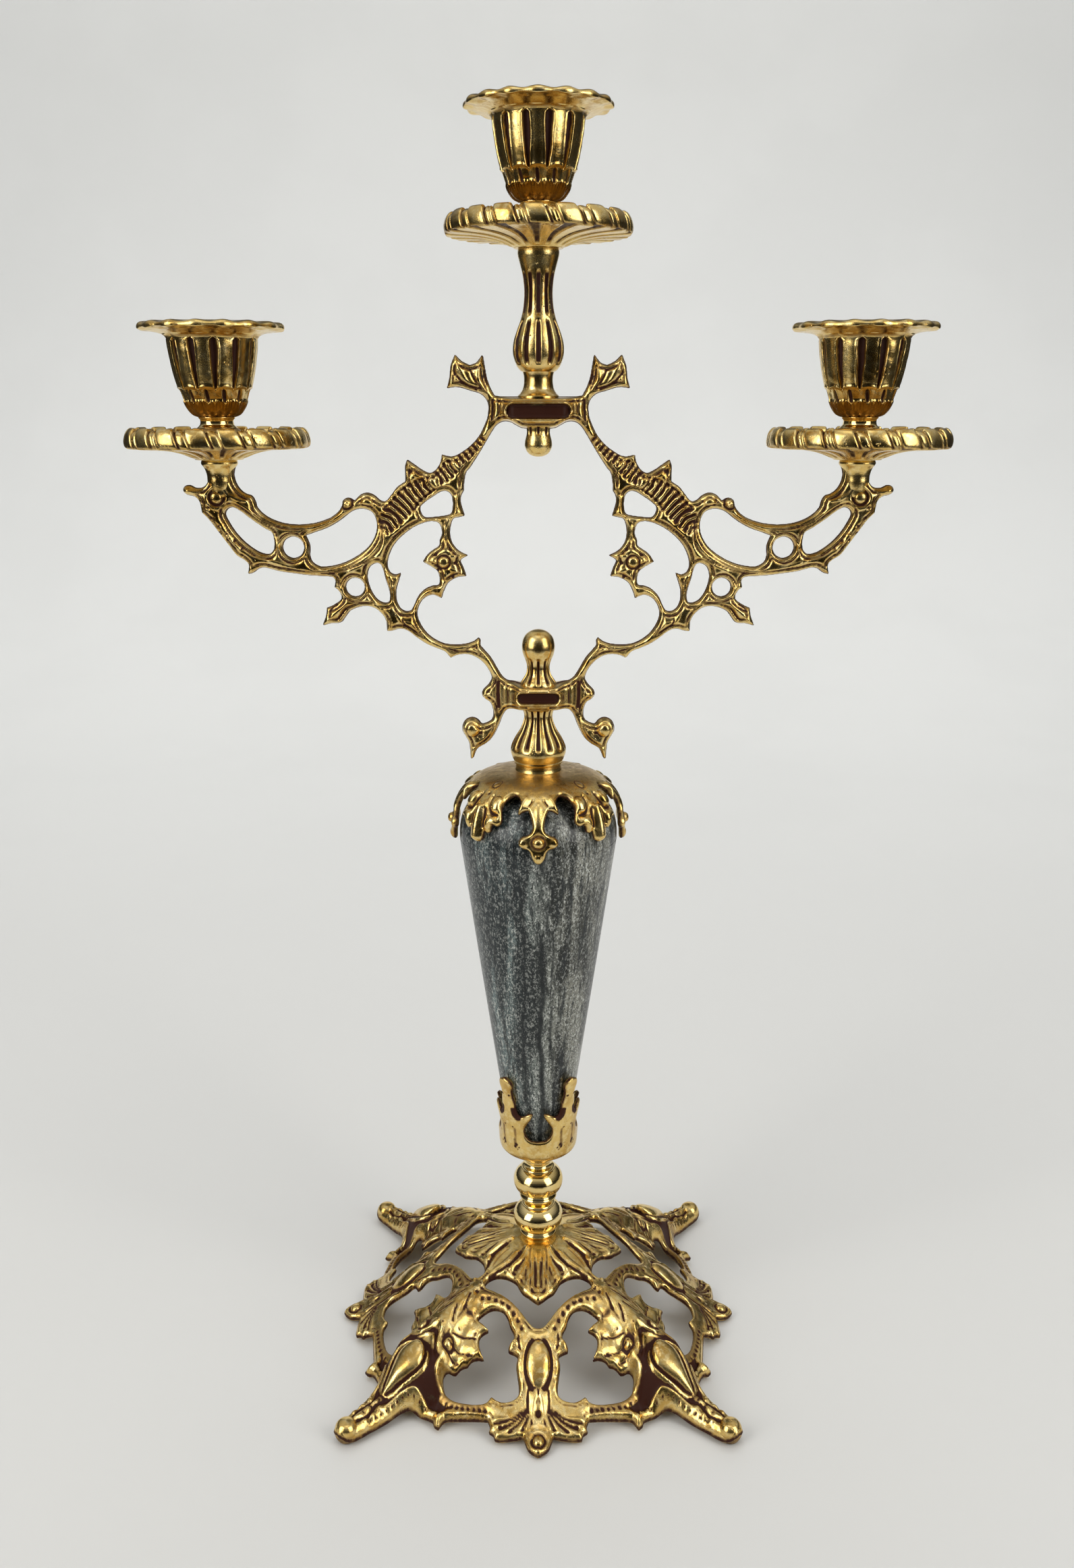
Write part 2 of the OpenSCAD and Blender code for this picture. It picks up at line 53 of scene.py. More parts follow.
def spline(points, n=8):
    """Catmull-Rom curve through points of any width."""
    p = np.asarray(points, float)
    out = []
    for i in range(len(p) - 1):
        a, b = p[max(i - 1, 0)], p[i]
        c, d = p[i + 1], p[min(i + 2, len(p) - 1)]
        t = np.linspace(0, 1, n, endpoint=False)[:, None]
        out.append(0.5 * (2 * b + (c - a) * t + (2 * a - 5 * b + 4 * c - d) * t ** 2
                          + (3 * b - a - 3 * c + d) * t ** 3))
    out.append(p[-1:])
    return np.vstack(out)


def outline(points, n=5):
    """Closed curve. A point with a third value is a sharp corner."""
    pts = [tuple(q) for q in points]
    corners = [i for i, q in enumerate(pts) if len(q) > 2]
    xy = [q[:2] for q in pts]
    if not corners:
        m = len(xy)
        ext = np.array([xy[(i - 2) % m] for i in range(m + 4)], float)
        s = spline(ext, n)
        return s[2 * n:(m + 2) * n + 1]
    out = []
    for a, b in zip(corners, corners[1:] + [corners[0] + len(xy)]):
        seg = [xy[i % len(xy)] for i in range(a, b + 1)]
        out.append(spline(seg, n)[:-1] if len(seg) > 2 else np.array(seg[:1], float))
    out = np.vstack(out)
    return np.vstack([out, out[:1]])


def blur(a, sigma):
    """Gaussian blur of a 2-D array, sigma in cells."""
    r = max(1, int(3 * sigma))
    k = np.exp(-0.5 * (np.arange(-r, r + 1) / sigma) ** 2)
    k /= k.sum()
    pad = np.pad(a, r, mode="edge")
    pad = sum(k[i] * pad[i:i + a.shape[0], :] for i in range(2 * r + 1))
    return sum(k[i] * pad[:, i:i + a.shape[1]] for i in range(2 * r + 1))


def ease(x, a, b):
    t = np.clip((x - a) / (b - a), 0, 1)
    return t * t * (3 - 2 * t)


def dome(x):
    """Half round: 1 at 0, falling to nothing at 1."""
    return np.sqrt(np.maximum(1 - np.minimum(x, 1) ** 2, 0))


class Relief:
    """A height map over (u, v) in mm, with the signed distance to its outline."""

    def __init__(self, u0, u1, v0, v1, px=CELL):
        self.u0, self.v0, self.px = u0, v0, px
        self.nu = int(round((u1 - u0) / px)) + 1
        self.nv = int(round((v1 - v0) / px)) + 1
        self.u = u0 + np.arange(self.nu) * px
        self.v = v0 + np.arange(self.nv) * px
        self.inside = np.zeros((self.nu, self.nv), bool)
        self.edge = np.full((self.nu, self.nv), FAR)
        self.add = np.zeros((self.nu, self.nv))
        self.dark = np.zeros((self.nu, self.nv))

    def block(self, lo, hi, pad):
        """The cells within pad of a rectangle: the index of the part, and its u and v."""
        ends = []
        for a, b, start, n in zip(lo, hi, (self.u0, self.v0), (self.nu, self.nv)):
            first = max(0, int((a - pad - start) / self.px))
            ends.append(slice(first, max(first, min(n, int((b + pad - start) / self.px) + 2))))
        return tuple(ends), *np.meshgrid(self.u[ends[0]], self.v[ends[1]], indexing="ij")

    def darken(self, at, amount):
        self.dark[at] = np.maximum(self.dark[at], amount)

    def loop(self, pts, hole=False):
        """Adds or cuts the inside of a closed curve."""
        flips = np.zeros((self.nu, self.nv + 1), np.int32)
        for (x0, y0), (x1, y1) in zip(pts[:-1], pts[1:]):
            if x0 == x1:
                continue
            a, b = (x0, x1) if x0 < x1 else (x1, x0)
            i = np.arange(max(0, math.ceil((a - self.u0) / self.px)),
                          min(self.nu, math.ceil((b - self.u0) / self.px)))
            if len(i) == 0:
                continue
            y = y0 + (self.u0 + i * self.px - x0) * (y1 - y0) / (x1 - x0)
            j = np.clip(np.ceil((y - self.v0) / self.px).astype(int), 0, self.nv)
            np.add.at(flips, (i, j), 1)
        fill = (np.cumsum(flips, axis=1)[:, :-1] % 2).astype(bool)
        self.inside = self.inside & ~fill if hole else self.inside | fill
        step = 10
        for k in range(0, len(pts) - 1, step):
            seg = pts[k:k + step + 1]
            at, uu, vv = self.block(seg.min(0), seg.max(0), 3.4)
            best = self.edge[at]
            for (x0, y0), (x1, y1) in zip(seg[:-1], seg[1:]):
                dx, dy = x1 - x0, y1 - y0
                q = dx * dx + dy * dy
                if q < 1e-12:
                    continue
                t = np.clip(((uu - x0) * dx + (vv - y0) * dy) / q, 0, 1)
                d = np.hypot(uu - x0 - t * dx, vv - y0 - t * dy)
                np.minimum(best, d, out=best)
            self.edge[at] = best

    def distance(self):
        """Signed distance to the outline, positive inside."""
        return np.where(self.inside, self.edge, -self.edge)

    def along(self, points, pad=1.0):
        """For the cells near a curve of (u, v, half width): their index, their signed distance from it,
        how far along it they lie and its half width there; and the length of the curve."""
        s = spline(points)
        at, uu, vv = self.block(s[:, :2].min(0), s[:, :2].max(0), s[:, 2].max() + pad)
        best = np.full(uu.shape, 1e9)
        side, arc, width = np.zeros((3,) + uu.shape)
        run = 0.0
        for p, q in zip(s[:-1], s[1:]):
            dx, dy = q[0] - p[0], q[1] - p[1]
            ln2 = dx * dx + dy * dy
            if ln2 < 1e-12:
                continue
            ln = math.sqrt(ln2)
            t = np.clip(((uu - p[0]) * dx + (vv - p[1]) * dy) / ln2, 0, 1)
            d = np.hypot(uu - p[0] - t * dx, vv - p[1] - t * dy)
            w = p[2] + t * (q[2] - p[2])
            m = d - w < best
            best[m] = (d - w)[m]
            side[m] = (np.sign(dx * (vv - p[1]) - dy * (uu - p[0])) * d)[m]
            arc[m] = (run + t * ln)[m]
            width[m] = w[m]
            run += ln
        return at, side, arc, width, run

    def crest(self, points, amount, width, tint=0.85):
        """Raises (or with a negative amount, engraves) a soft line along a curve of (u, v)."""
        at, side, arc, _, run = self.along([(u, v, 1) for u, v in points], pad=2.0)
        end = np.minimum(ease(arc, -0.01, 1.2), ease(run - arc, -0.01, 1.2))
        f = np.exp(-(side / width) ** 2) * np.maximum(end, 0.15)
        self.add[at] += amount * f
        if amount < 0:
            self.darken(at, tint * ease(f, 0.3, 0.75) * ease(-amount, 0.05, 0.4))

    def crests(self, *rows):
        """One crest for each row of (amount, width, u, v, u, v, ...)."""
        for row in rows:
            self.crest(list(zip(row[2::2], row[3::2])), row[0], row[1])

    def stain(self, points, amount=0.9, soft=0.5):
        """Darkens a band of (u, v, half width)."""
        at, side, arc, width, run = self.along(points)
        ends = ease(arc, -0.01, 0.8) * ease(run - arc, -0.01, 0.8)
        self.darken(at, amount * ease(width - np.abs(side), -soft, soft) * ends)

    def hollows(self, h, d, tight=0.12, wide=0.42, wall=0.8):
        """Where old lacquer stays: fine lines, broad hollows and the side walls."""
        up = np.maximum(h, -0.2)
        fine = ease(blur(up, 2.2) - up, 0.015, tight) * ease(d, 0.45, 0.8)
        broad = ease(blur(up, 7.0) - up, 0.05, wide) * ease(d, 0.5, 1.0)
        side = wall * ease(0.24 - d, -0.06, 0.16)
        return np.clip(np.maximum(np.maximum(fine, broad), np.maximum(side, self.dark)), 0, 1)

    def ribs(self, points, pitch, depth, duty=0.5):
        """Cross grooves inside a band of (u, v, half width)."""
        at, side, arc, width, run = self.along(points)
        x = np.abs(side) / np.maximum(width, 0.05)
        bow = arc + 0.10 * side ** 2 / np.maximum(width, 0.5)
        wave = 0.5 - 0.5 * np.cos(2 * np.pi * bow / pitch)
        band = ease(1 - x, 0.0, 0.22) * ease(arc, 0, 1.5) * ease(run - arc, 0, 1.5)
        groove = wave ** duty * band
        self.add[at] -= depth * groove
        self.darken(at, 0.92 * ease(groove, 0.5, 0.9))

    def bump(self, u, v, r, h, sink=0.0):
        """A round boss, with a moat round it if sink is set."""
        at, uu, vv = self.block((u, v), (u, v), r + 1.5)
        d = np.hypot(uu - u, vv - v)
        self.add[at] += h * dome(d / r)
        if sink:
            moat = np.exp(-((d - r - 0.25) / 0.38) ** 2)
            self.add[at] -= sink * moat
            self.darken(at, 0.9 * moat)

    def ring(self, u, v, r, amount, width):
        """A raised round line."""
        at, uu, vv = self.block((u, v), (u, v), r + 2)
        self.add[at] += amount * np.exp(-((np.hypot(uu - u, vv - v) - r) / width) ** 2)

    def pit(self, u, v, r, depth):
        """A small round pit."""
        at, uu, vv = self.block((u, v), (u, v), 3 * r)
        g = np.exp(-((uu - u) ** 2 + (vv - v) ** 2) / (r * r))
        self.add[at] -= depth * g
        self.darken(at, ease(g, 0.35, 0.8))

    def panel(self, u, v, hu, hv, depth, rim):
        """A sunk, dark, round-ended panel with a raised line round it."""
        at, uu, vv = self.block((u - hu, v - hv), (u + hu, v + hv), 2)
        d = np.hypot(np.maximum(np.abs(uu - u) - hu + hv, 0), vv - v) - hv
        self.add[at] += rim * np.exp(-((d - 0.35) / 0.33) ** 2) - depth * ease(-d, -0.1, 0.35)
        self.darken(at, ease(-d, 0.0, 0.3))


def section(d, thick, reach, slope):
    """Half thickness at a distance d from the outline: a rounded edge, running on below it outside."""
    x = np.clip(d / reach, -3, 1)
    return np.where(x > 0, thick * np.sqrt(np.maximum(1 - (1 - x) ** 2, 0)), x * reach * slope)


def settle(h, d, floor, soften):
    """Keeps heights above a floor inside the outline, and softens them away from the edge."""
    h = np.where(d > 0, np.maximum(h, floor), h)
    return np.where(d > 0.4, blur(h, soften), h)


def sample(a, fu, fv):
    """Bilinear lookup, fu and fv in cells."""
    fu = np.clip(fu, 0, a.shape[0] - 1.001)
    fv = np.clip(fv, 0, a.shape[1] - 1.001)
    i, j = fu.astype(int), fv.astype(int)
    x, y = fu - i, fv - j
    return (a[i, j] * (1 - x) * (1 - y) + a[i + 1, j] * x * (1 - y)
            + a[i, j + 1] * (1 - x) * y + a[i + 1, j + 1] * x * y)


def surface_nets(field):
    """Quads round the zero of a 3-D array, negative inside. Vertices come back in cells."""
    neg = field < 0
    nx, ny, nz = (s - 1 for s in field.shape)
    count = np.zeros((nx, ny, nz), np.int8)
    for a, b, c in np.ndindex(2, 2, 2):
        count += neg[a:a + nx, b:b + ny, c:c + nz]
    mixed = (count > 0) & (count < 8)
    cells = np.argwhere(mixed)
    index = np.full(count.shape, -1, np.int64)
    index[mixed] = np.arange(len(cells))
    total = np.zeros((len(cells), 3))
    hits = np.zeros(len(cells))
    one = np.eye(3, dtype=int)
    for axis in range(3):
        b, c = (k for k in range(3) if k != axis)
        for i, j in np.ndindex(2, 2):
            p = cells + i * one[b] + j * one[c]
            start, end = field[tuple(p.T)], field[tuple((p + one[axis]).T)]
            m = (start < 0) != (end < 0)
            t = start[m] / (start[m] - end[m])
            total[m] += p[m] + t[:, None] * one[axis]
            hits[m] += 1
    faces = []
    for axis in range(3):
        b, c = (axis + 1) % 3, (axis + 2) % 3
        p = np.argwhere(np.diff(neg, axis=axis))
        p = p[(p[:, b] > 0) & (p[:, c] > 0) & (p[:, b] < field.shape[b] - 1) & (p[:, c] < field.shape[c] - 1)]
        ring = (p, p - one[b], p - one[b] - one[c], p - one[c])
        quad = np.stack([index[tuple(q.T)] for q in ring], 1)
        flip = ~neg[tuple(p.T)]
        quad[flip] = quad[flip][:, ::-1]
        faces.append(quad)
    return total / hits[:, None], np.vstack(faces)[:, ::-1]


def slab(relief, front, back, dark, step, depth):
    """Mesh of a plate whose front and back heights fall to nothing at the outline.

    Returns vertices (u, v, w), quads and the dark value of each vertex."""
    k = step / relief.px
    nu, nv = int((relief.nu - 1) / k) + 1, int((relief.nv - 1) / k) + 1
    gu, gv = np.meshgrid(np.arange(nu) * k, np.arange(nv) * k, indexing="ij")
    w = np.arange(-depth[0] - 2 * step, depth[1] + 2.01 * step, step)
    fu, fv = np.gradient(front, relief.px)
    bu, bv = np.gradient(back, relief.px)
    hf, hb = sample(front, gu, gv), sample(back, gu, gv)
    nf = np.sqrt(1 + sample(fu, gu, gv) ** 2 + sample(fv, gu, gv) ** 2)
    nb = np.sqrt(1 + sample(bu, gu, gv) ** 2 + sample(bv, gu, gv) ** 2)
    field = np.maximum((w[None, None, :] - hf[..., None]) / nf[..., None],
                       (-w[None, None, :] - hb[..., None]) / nb[..., None]).astype(np.float32)
    verts, quads = surface_nets(field)
    u, v = verts[:, 0] * k, verts[:, 1] * k
    z = w[0] + verts[:, 2] * step
    for _ in range(3):
        f_front = z - sample(front, u, v)
        f_back = -z - sample(back, u, v)
        use = f_front > f_back
        f = np.where(use, f_front, f_back)
        du = -np.where(use, sample(fu, u, v), sample(bu, u, v))
        dv = -np.where(use, sample(fv, u, v), sample(bv, u, v))
        dz = np.where(use, 1.0, -1.0)
        g2 = du * du + dv * dv + 1
        t = np.clip(f / g2, -0.2, 0.2)
        t = t * np.minimum(0.35 * step / np.maximum(np.sqrt(g2) * np.abs(t), 1e-9), 1)
        u = u - t * du / relief.px
        v = v - t * dv / relief.px
        z = z - t * dz
    return np.stack([relief.u0 + u * relief.px, relief.v0 + v * relief.px, z], 1), quads, sample(dark, u, v)


def add_object(name, data):
    obj = bpy.data.objects.new(name, data)
    bpy.context.scene.collection.objects.link(obj)
    return obj


def make_mesh(name, verts, faces, **values):
    """A smooth mesh object from millimetre vertices and quads, with one attribute for each named value."""
    mesh = bpy.data.meshes.new(name)
    n, k = faces.shape
    mesh.vertices.add(len(verts))
    mesh.vertices.foreach_set("co", (np.asarray(verts, np.float32) * MM).ravel())
    mesh.loops.add(n * k)
    mesh.loops.foreach_set("vertex_index", faces.astype(np.int32).ravel())
    mesh.polygons.add(n)
    mesh.polygons.foreach_set("loop_start", np.arange(0, n * k, k, dtype=np.int32))
    mesh.polygons.foreach_set("loop_total", np.full(n, k, np.int32))
    mesh.update(calc_edges=True)
    mesh.validate()
    mesh.polygons.foreach_set("use_smooth", np.ones(len(mesh.polygons), bool))
    for key, data in values.items():
        at = mesh.attributes.new(key, "FLOAT", "POINT")
        at.data.foreach_set("value", np.asarray(data, np.float32))
    mesh.update()
    return add_object(name, mesh)


def finish_piece(obj, body, node, material):
    """Gives a piece its body, the CAD node that it takes the place of and its material."""
    obj.data.materials.append(material)
    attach(obj, body)
    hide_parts(node)


# ---------------------------------------------------------------- materials

class Nodes:
    """Short hand for building one material."""

    def __init__(self, name):
        self.mat = bpy.data.materials.new(name)
        self.mat.use_nodes = True
        self.tree = self.mat.node_tree
        self.shader = self.tree.nodes["Principled BSDF"]

    def add(self, kind, values=None, **props):
        node = self.tree.nodes.new(kind)
        for key, value in props.items():
            setattr(node, key, value)
        for key, value in (values or {}).items():
            if isinstance(value, bpy.types.NodeSocket):
                self.tree.links.new(value, node.inputs[key])
            else:
                node.inputs[key].default_value = value
        return node

    def place(self, scale=(1, 1, 1), offset=(0, 0, 0)):
        """Object coordinates in millimetres, stretched."""
        co = self.add("ShaderNodeTexCoord").outputs["Object"]
        return self.add("ShaderNodeMapping", {"Vector": co, "Scale": tuple(1000 * s for s in scale),
                                              "Location": offset}).outputs[0]

    def noise(self, where, scale, detail=4.0, rough=0.55, distort=0.0):
        return self.add("ShaderNodeTexNoise", {"Vector": where, "Scale": scale, "Detail": detail,
                                               "Roughness": rough, "Distortion": distort}).outputs["Fac"]

    def spots(self, where, scale):
        return self.add("ShaderNodeTexVoronoi", {"Vector": where, "Scale": scale}).outputs["Distance"]

    def remap(self, value, a, b, c=0.0, d=1.0, soft=True):
        return self.add("ShaderNodeMapRange", {"Value": value, "From Min": a, "From Max": b, "To Min": c,
                                               "To Max": d},
                        interpolation_type="SMOOTHSTEP" if soft else "LINEAR").outputs["Result"]

    def sum(self, a, b, kind="ADD"):
        return self.add("ShaderNodeMath", {0: a, 1: b}, operation=kind).outputs[0]

    def times(self, a, b):
        return self.sum(a, b, "MULTIPLY")

    def mix(self, fac, a, b):
        node = self.add("ShaderNodeMix", data_type="RGBA")
        for index, value in ((0, fac), (6, a), (7, b)):
            if isinstance(value, bpy.types.NodeSocket):
                self.tree.links.new(value, node.inputs[index])
            else:
                node.inputs[index].default_value = value if index == 0 else (*value, 1)
        return node.outputs[2]

    def read(self, name):
        return self.add("ShaderNodeAttribute", attribute_name=name).outputs["Fac"]

    def bump(self, height, strength, distance, before=None):
        values = {"Height": height, "Strength": strength, "Distance": distance}
        if before is not None:
            values["Normal"] = before
        return self.add("ShaderNodeBump", values).outputs[0]

    def set(self, **values):
        for key, value in values.items():
            sock = self.shader.inputs[key.replace("_", " ")]
            if isinstance(value, bpy.types.NodeSocket):
                self.tree.links.new(value, sock)
            else:
                sock.default_value = (*value, 1) if isinstance(value, tuple) else value


GOLD = (0.83, 0.59, 0.205)
GOLD_DEEP = (0.56, 0.34, 0.085)
GOLD_PALE = (0.90, 0.72, 0.35)
AMBER = (0.27, 0.135, 0.022)
LACQUER = (0.036, 0.009, 0.004)
TARNISH = (0.34, 0.20, 0.065)
VERDIGRIS = (0.10, 0.13, 0.07)
TURNED_GOLD = (0.82, 0.59, 0.21)
TURNED_PALE = (0.91, 0.71, 0.33)
TURNED_DARK = (0.10, 0.045, 0.015)
TURNED_SPOT = (0.16, 0.09, 0.04)
STONE_COOL = (0.010, 0.018, 0.021)
STONE_WARM = (0.018, 0.019, 0.015)
STONE_PALE_COOL = (0.130, 0.178, 0.180)
STONE_PALE_WARM = (0.250, 0.250, 0.212)
STONE_SALT = (0.56, 0.58, 0.54)
STONE_FLECK = (0.46, 0.48, 0.46)
STONE_PEPPER = (0.010, 0.014, 0.015)
STONE_LINE = (0.010, 0.014, 0.016)
STONE_THIN = (0.004, 0.006, 0.007)
STONE_SEAM = (0.005, 0.008, 0.009)
STEEL_GREY = (0.50, 0.48, 0.45)
STEEL_PALE = (0.60, 0.58, 0.54)
STEEL_RUST = (0.20, 0.13, 0.08)
PAPER = (0.875, 0.88, 0.865)
PAPER_PALE = (0.895, 0.90, 0.885)
# painted shade: the colour of the roll where it lies flat
PAPER_SHADED_FLOOR = (0.675, 0.675, 0.66)
# painted light: the glow of the screens
PAPER_PAINTED_GLOW = (0.9, 0.91, 0.9)


def cast_brass():
    m = Nodes("cast_brass")
    at = m.place()
    dark = m.read("dark")
    amber = m.read("amber")
    slow = m.noise(at, 0.09, 3)
    mid = m.noise(at, 0.55, 5, 0.6)
    grain = m.noise(at, 3.2, 6, 0.7)
    pits = m.spots(at, 1.15)
    tone = m.mix(m.remap(slow, 0.34, 0.60), GOLD_DEEP, GOLD)
    tone = m.mix(m.remap(mid, 0.44, 0.66, 0, 0.75), tone, GOLD_PALE)
    tone = m.mix(m.times(amber, 0.9), tone, AMBER)
    # thin tarnish round every hollow, then the lacquer itself, with a ragged edge; the dark value they follow
    # also holds painted shade on the cups and pans
    ragged = m.sum(dark, m.remap(mid, 0.25, 0.75, -0.20, 0.20, False))
    tarnish_and_shade = m.remap(ragged, 0.08, 0.45, 0, 0.75)
    tone = m.mix(tarnish_and_shade, tone, TARNISH)
    lacquer_and_shade = m.remap(ragged, 0.34, 0.78)
    # small black pits, grouped in patches
    patch = m.remap(m.noise(at, 0.16, 4, 0.6), 0.52, 0.68)
    speck = m.times(m.remap(pits, 0.20, 0.11), patch)
    lacquer_and_shade = m.sum(lacquer_and_shade, m.times(speck, 0.8), "MAXIMUM")
    tone = m.mix(lacquer_and_shade, tone, LACQUER)
    # a breath of green tarnish where brass stays damp
    green = m.times(m.remap(m.noise(at, 0.21, 5, 0.65), 0.60, 0.74), m.remap(mid, 0.42, 0.6))
    tone = m.mix(m.times(green, 0.25), tone, VERDIGRIS)
    rough = m.remap(grain, 0.3, 0.7, 0.12, 0.23, False)
    rough = m.sum(rough, m.sum(m.times(lacquer_and_shade, 0.14), m.times(tarnish_and_shade, 0.22)))
    rough = m.sum(rough, m.remap(slow, 0.35, 0.65, 0.0, 0.08))
    n = m.bump(m.noise(at, 0.42, 3, 0.5), 0.32, 0.00026)
    n = m.bump(grain, 0.35, 0.00006, n)
    n = m.bump(m.remap(pits, 0.05, 0.30), m.times(patch, 0.9), 0.00012, n)
    m.set(Base_Color=tone, Metallic=m.remap(lacquer_and_shade, 0, 1, 1.0, 0.0, False), Roughness=rough, Normal=n,
          Specular_IOR_Level=0.16)
    return m.mat


def turned_brass():
    m = Nodes("turned_brass")
    at = m.place()
    dark = m.read("dark")
    slow = m.noise(at, 0.13, 3)
    rings = m.noise(m.place((0.02, 0.02, 1)), 2.6, 3, 0.6)
    grain = m.noise(at, 2.4, 5, 0.65)
    tone = m.mix(m.remap(slow, 0.35, 0.65), TURNED_GOLD, TURNED_PALE)
    tone = m.mix(m.times(m.remap(dark, 0.15, 0.8), 0.8), tone, TURNED_DARK)
    spots = m.times(m.remap(m.spots(at, 0.8), 0.16, 0.06), m.remap(m.noise(at, 0.3, 3), 0.52, 0.64))
    tone = m.mix(m.times(spots, 0.6), tone, TURNED_SPOT)
    rough = m.remap(grain, 0.3, 0.7, 0.07, 0.15, False)
    n = m.bump(rings, 0.35, 0.00005)
    n = m.bump(m.noise(at, 0.35, 3), 0.3, 0.00012, n)
    m.set(Base_Color=tone, Metallic=1.0, Roughness=rough, Normal=n)
    return m.mat


def marble_stone():
    m = Nodes("marble")
    at = m.place()
    # rises out of the quarry in sheets, so everything is stretched along the stem
    bend = m.place((1, 1, 0.10))
    bands = m.noise(bend, 0.15, 4, 0.55, 0.35)
    lines = m.noise(m.place((1, 1, 0.045), (3.1, 8.7, 2.0)), 0.42, 5, 0.62, 0.25)
    thin = m.noise(m.place((1, 1, 0.035), (9.0, 1.0, 5.0)), 0.9, 4, 0.6, 0.2)
    grain = m.noise(m.place((1, 1, 0.55)), 1.25, 3, 0.8)
    fine = m.noise(m.place((1, 1, 0.5)), 2.7, 3, 0.8)
    flakes = m.spots(m.place((1, 1, 0.6)), 0.95)
    split = m.add("ShaderNodeSeparateXYZ", {"Vector": at})
    east = m.remap(split.outputs["X"], -14, 12)
    cool = m.mix(east, STONE_COOL, STONE_WARM)
    pale = m.mix(east, STONE_PALE_COOL, STONE_PALE_WARM)
    light = m.remap(bands, 0.44, 0.60)
    tone = m.mix(light, cool, pale)
    # salt and pepper
    salt = m.times(m.remap(grain, 0.50, 0.60), m.remap(light, 0, 1, 0.45, 1.0, False))
    tone = m.mix(salt, tone, STONE_SALT)
    tone = m.mix(m.remap(fine, 0.51, 0.59), tone, STONE_PEPPER)
    tone = m.mix(m.times(m.remap(m.spots(m.place((1, 1, 0.5), (4, 4, 4)), 1.5), 0.26, 0.14), 0.42), tone,
                 STONE_FLECK)
    # dark lines, and the heavy seams near the middle
    tone = m.mix(m.times(m.remap(lines, 0.47, 0.36), 0.85), tone, STONE_LINE)
    tone = m.mix(m.times(m.remap(thin, 0.42, 0.33), 0.85), tone, STONE_THIN)
    drift = m.remap(m.noise(m.place((0.05, 0.05, 1), (2, 0, 0)), 0.03, 2, 0.5), 0.3, 0.7, -1.8, 1.8, False)
    wave = m.sum(split.outputs["X"], m.sum(drift, m.remap(fine, 0.2, 0.8, -0.7, 0.7, False)))
    for middle, half, depth in ((1.2, 1.5, 0.92), (4.6, 0.8, 0.75), (-4.4, 1.0, 0.7), (-9.5, 0.7, 0.6)):
        away = m.sum(m.sum(wave, middle, "SUBTRACT"), 0.0, "ABSOLUTE")
        broken = m.remap(m.noise(m.place((1, 1, 0.08), (middle, 3, 1)), 0.3, 2), 0.36, 0.52)
        seam = m.times(m.remap(away, half, 0.2 * half), m.times(broken, depth))
        tone = m.mix(seam, tone, STONE_SEAM)
    rough = m.remap(flakes, 0.1, 0.5, 0.22, 0.34, False)
    n = m.bump(flakes, 0.12, 0.00008)
    m.set(Base_Color=tone, Roughness=rough, Normal=n, Specular_IOR_Level=0.34,
          Coat_Weight=0.14, Coat_Roughness=0.08)
    return m.mat


def hardware_steel():
    m = Nodes("hardware_steel")
    at = m.place()
    brushed = m.noise(m.place((1, 1, 0.05)), 3.0, 4, 0.6)
    slow = m.noise(at, 0.3, 3)
    tone = m.mix(m.remap(slow, 0.4, 0.65), STEEL_GREY, STEEL_PALE)
    tone = m.mix(m.remap(m.noise(at, 0.9, 4), 0.60, 0.72, 0, 0.6), tone, STEEL_RUST)
    rough = m.remap(brushed, 0.3, 0.7, 0.24, 0.42, False)
    m.set(Base_Color=tone, Metallic=1.0, Roughness=rough, Normal=m.bump(brushed, 0.3, 0.00005))
    return m.mat


def paper(name="backdrop_paper", painted_glow=0.0):
    m = Nodes(name)
    at = m.place()
    tone = m.mix(m.remap(m.noise(at, 0.004, 3), 0.4, 0.6), PAPER, PAPER_PALE)
    # painted shade: the paper is darker where it lies flat, lightening as it runs back and up into the wall
    run = m.add("ShaderNodeSeparateXYZ", {"Vector": at}).outputs["Y"]
    tone = m.mix(m.remap(run, -100, 1300), PAPER_SHADED_FLOOR, tone)
    # a glow on the paper is painted light: it shines by itself instead of being lit
    m.set(Base_Color=tone, Roughness=0.85, Specular_IOR_Level=0.25, Emission_Color=PAPER_PAINTED_GLOW,
          Emission_Strength=painted_glow, Normal=m.bump(m.noise(at, 0.6, 4), 0.05, 0.0001))
    return m.mat


# ---------------------------------------------------------------- lathe work

